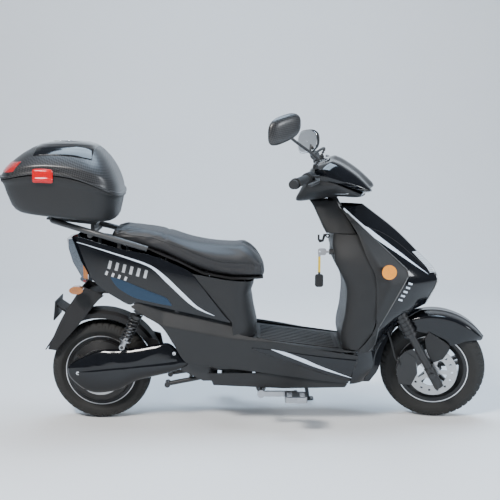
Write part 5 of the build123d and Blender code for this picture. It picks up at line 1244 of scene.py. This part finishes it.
class SCOOTER_OT_seat(bpy.types.Operator):
    """Two-up seat: padded cover swollen by a short cloth simulation, with a sewn seam"""

    bl_idname = "scooter.seat"
    bl_label = "Seat"

    def execute(self, context):
        scene = context.scene
        swell = scene.scooter_sizes.seat_swell
        loops = seat_loops(70, 72, 5.0)
        tail, nose = (end.mean(axis=1, keepdims=True) + 0 * end for end in (loops[:1], loops[-1:]))
        skin = sheet_grid(np.concatenate([tail, loops, nose]), wrap_columns=True, turned=True)
        piece = mesh_object("seat_pad", [skin], FINISHES["seat"], 60)
        context.view_layer.objects.active = piece
        remesh = piece.modifiers.new("even mesh", "REMESH")
        remesh.mode = "VOXEL"
        remesh.voxel_size = 0.0065
        remesh.use_smooth_shade = True
        with context.temp_override(object=piece, active_object=piece, selected_objects=[piece]):
            bpy.ops.object.modifier_apply(modifier="even mesh")
        before = read_points(piece.data)
        low = (ease(before[:, 0] / MM, SEAT_X, SEAT_LOW) - SEAT_SINK) * MM
        pin = piece.vertex_groups.new(name="base")
        pin.add(np.nonzero(before[:, 2] < low + 0.012)[0].tolist(), 1.0, "REPLACE")
        cloth = piece.modifiers.new("padding", "CLOTH")
        cloth.settings.use_pressure = True
        cloth.settings.uniform_pressure_force = 4.0
        cloth.settings.effector_weights.gravity = 0.0
        cloth.settings.vertex_group_mass = "base"
        cloth.settings.quality = 6
        cloth.point_cache.frame_start, cloth.point_cache.frame_end = 1, PADDING_FRAMES
        for number in range(1, PADDING_FRAMES + 1):
            scene.frame_set(number)
        ready = piece.evaluated_get(context.evaluated_depsgraph_get())
        move = read_points(ready.data) - before
        piece.modifiers.remove(cloth)
        length = np.linalg.norm(move, axis=1, keepdims=True)
        move *= np.minimum(1.0, swell / np.maximum(length, 1e-9))
        piece.data.vertices.foreach_set("co", (before + move).ravel())
        scene.frame_set(1)
        points = read_points(piece.data)
        seam = ease(points[:, 0] / MM, SEAT_X, SEAT_SEAM) * MM
        edge = np.abs(points[:, 1]) > 0.7 * ease(points[:, 0] / MM, SEAT_X, SEAT_HALF) * MM
        groove = 0.0035 * np.exp(-(((points[:, 2] - seam) / 0.0045) ** 2)) * edge
        points[:, 1] -= np.sign(points[:, 1]) * groove
        cross = np.exp(-(((points[:, 0] + 0.318) / 0.007) ** 2)) * (points[:, 2] > seam)
        points[:, 2] -= 0.004 * cross
        piece.data.vertices.foreach_set("co", points.ravel())
        piece.data.update()
        soften = piece.modifiers.new("smooth", "SUBSURF")
        soften.levels = soften.render_levels = 1
        finish_piece(piece, "seat", "seat_vinyl", "seat_cushion")
        x = np.linspace(-500, 40, 120)
        lines = []
        for s in (-1, 1):
            y, z = s * (ease(x, SEAT_X, SEAT_HALF) + 6), ease(x, SEAT_X, SEAT_SEAM) + 1
            start = np.stack([x, y, z], axis=1) * MM
            snapped = np.array([piece.closest_point_on_mesh(Vector(p))[1] for p in start]) / MM
            lines.append(tube(smooth(snapped[::4], 110), 1.5, 8))
        add("seat_piping", lines, "rubber", "seat", "seat_vinyl")
        return {"FINISHED"}


# ---------------------------------------------------------------------------
# Finishes of the frame's own pieces
# ---------------------------------------------------------------------------
CAD_FINISHES = {
    "dark": (
        "main_frame", "steering_stem", "handlebar", "fork_legs", "front_caliper", "swingarm", "rear_caliper",
        "side_stand", "centre_stand", "shock_uppers", "shock_springs", "brake_lever_left",
        "brake_lever_right",
    ),
    "grey": ("luggage_rack", "ignition_lock"),
    "alloy": ("motor_controller", "crankset", "pedal_left", "pedal_right", "shock_lowers"),
    "key": ("key",),
    "matte": (
        "battery_pack", "seat_bucket", "switch_pods", "seat_base", "bag_hook", "rear_mudguard", "rear_hugger",
    ),
    "grained": ("footboard", "belly_pan"),
    "rubber": ("footboard_mat", "grip_left", "throttle_grip", "front_brake_hose"),
    # the amber lens paints a glow on the side reflectors
    "amber": ("side_reflectors",),
    "tail": ("tail_lamps",),
    "front_wheel": ("front_rim",),
    "rear_wheel": ("rear_rim",),
    "front_disc": ("front_disc",),
    "rear_disc": ("rear_disc",),
}


class SCOOTER_OT_mudflap(bpy.types.Operator):
    """Long rear mudflap with its side cheeks"""

    bl_idname = "scooter.mudflap"
    bl_label = "Mudflap"

    def execute(self, context):
        back = smooth([(-640, 536), (-668, 494), (-722, 410), (-779, 288)], 50)
        front = smooth([(-560, 500), (-592, 470), (-660, 385), (-750, 284)], 50)
        v = np.linspace(-1, 1, 49)[:, None]
        turn = np.clip((np.abs(v) - 0.55) / 0.45, 0, 1)[..., None]
        plane = back[None] + (front - back)[None] * turn**1.3
        y = np.sign(v) * 66 * np.minimum(np.abs(v) / 0.55, 1) ** 0.9 + 3 * np.sign(v) * turn[..., 0]
        grid = np.stack([plane[..., 0], np.broadcast_to(y, plane.shape[:2]), plane[..., 1]], axis=-1)
        add("mudflap_cheeks", [sheet_grid(grid)], "matte", "chassis", "textured_black", wall=0.003, angle=50)
        return {"FINISHED"}


class SCOOTER_OT_finishes(bpy.types.Operator):
    """Finishes of the pieces that come with the frame"""

    bl_idname = "scooter.finishes"
    bl_label = "Finishes"

    def execute(self, context):
        make_finishes()
        for finish, nodes in CAD_FINISHES.items():
            for node in nodes:
                piece = frame["nodes"][node]
                if not piece.material_slots:
                    piece.data.materials.append(FINISHES[finish])
                for slot in piece.material_slots:
                    slot.material = FINISHES[finish]
        return {"FINISHED"}


CAMERA_PLACE = (0.0, -3.6, 1.24)
CAMERA_DIP = 9.06
CAMERA_LENS = 67.7


class SCOOTER_OT_stage(bpy.types.Operator):
    """Pale floor, soft studio lights and the camera"""

    bl_idname = "scooter.stage"
    bl_label = "Stage"

    def execute(self, context):
        scene = context.scene
        t = np.linspace(0, 1, 24)
        back = np.concatenate([[-6.0, -3.0, 0.0, 2.5], 2.5 + 1.6 * np.sin(t * pi / 2), [4.1]])
        rise = np.concatenate([[0, 0, 0, 0], 1.6 * (1 - np.cos(t * pi / 2)), [6.0]])
        x = np.linspace(-8, 8, 9) + 0 * back[:, None]
        sunk = rise - 0.0005
        grid = np.stack([x, back[:, None] + 0 * x, sunk[:, None] + 0 * x], axis=-1) / MM
        f = Finish("studio floor")
        soft = f.noise(3.0, 3.0)
        tone = f.mix(soft * 0.3, (0.80, 0.81, 0.82), (0.72, 0.73, 0.75))
        material = f.surface(Base_Color=tone, Roughness=0.75 + soft * 0.05)
        floor = mesh_object("studio_floor", [sheet_grid(grid, turned=True)], material, 60)
        world = bpy.data.worlds.new("studio")
        scene.world = world
        world.use_nodes = True
        sky = world.node_tree.nodes["Background"].inputs
        sky["Color"].default_value = (0.80, 0.88, 1.0, 1)
        sky["Strength"].default_value = 0.26
        for name, place, aim, size, power, colour in (
            ("key light", (-1.9, -3.0, 3.8), (0, 0, 0.5), 1.3, 285, (1.0, 0.97, 0.93)),
            ("sky panel", (0.3, 0.9, 4.4), (0, 0, 0.6), 3.4, 265, (0.62, 0.80, 1.0)),
            ("front light", (3.6, -1.8, 2.0), (0.3, 0, 0.5), 1.4, 95, (0.9, 0.95, 1.0)),
        ):
            lamp = bpy.data.lights.new(name, "AREA")
            lamp.shape = "RECTANGLE"
            lamp.size, lamp.size_y = size, size * 0.6
            lamp.energy = power
            lamp.color = colour
            piece = bpy.data.objects.new(name, lamp)
            piece.location = place
            piece.rotation_euler = (Vector(aim) - Vector(place)).to_track_quat("-Z", "Y").to_euler()
            scene.collection.objects.link(piece)
        camera = bpy.data.objects.new("camera", bpy.data.cameras.new("camera"))
        camera.data.lens = CAMERA_LENS
        camera.data.sensor_width = 36.0
        camera.location = CAMERA_PLACE
        camera.rotation_euler = (radians(90 - CAMERA_DIP), 0, 0)
        scene.collection.objects.link(camera)
        scene.camera = camera
        return {"FINISHED"}


class SCOOTER_PT_panel(bpy.types.Panel):
    """Sizes, colours and pieces of the scooter"""

    bl_idname = "SCOOTER_PT_panel"
    bl_label = "Scooter"
    bl_space_type = "VIEW_3D"
    bl_region_type = "UI"
    bl_category = "Scooter"

    def draw(self, context):
        layout = self.layout
        for group in (context.scene.scooter_sizes, context.scene.scooter_colours):
            for key in group.__annotations__:
                layout.prop(group, key)
        for operator in OPERATORS:
            layout.operator(operator.bl_idname)


OPERATORS = (
    SCOOTER_OT_finishes, SCOOTER_OT_stage, SCOOTER_OT_tyres, SCOOTER_OT_rear_body, SCOOTER_OT_sills,
    SCOOTER_OT_apron, SCOOTER_OT_shield, SCOOTER_OT_cowl, SCOOTER_OT_mirrors, SCOOTER_OT_mudguards,
    SCOOTER_OT_top_box, SCOOTER_OT_seat, SCOOTER_OT_mudflap,
)
CLASSES = (ScooterSizes, ScooterColours, *OPERATORS, SCOOTER_PT_panel)


def register():
    for cls in CLASSES:
        bpy.utils.register_class(cls)
    bpy.types.Scene.scooter_sizes = bpy.props.PointerProperty(type=ScooterSizes)
    bpy.types.Scene.scooter_colours = bpy.props.PointerProperty(type=ScooterColours)


def unregister():
    del bpy.types.Scene.scooter_colours
    del bpy.types.Scene.scooter_sizes
    for cls in reversed(CLASSES):
        bpy.utils.unregister_class(cls)


def main():
    """Make every piece in order."""
    register()
    for operator in OPERATORS:
        group, name = operator.bl_idname.split(".")
        getattr(getattr(bpy.ops, group), name)()


if __name__ == "__main__":
    main()
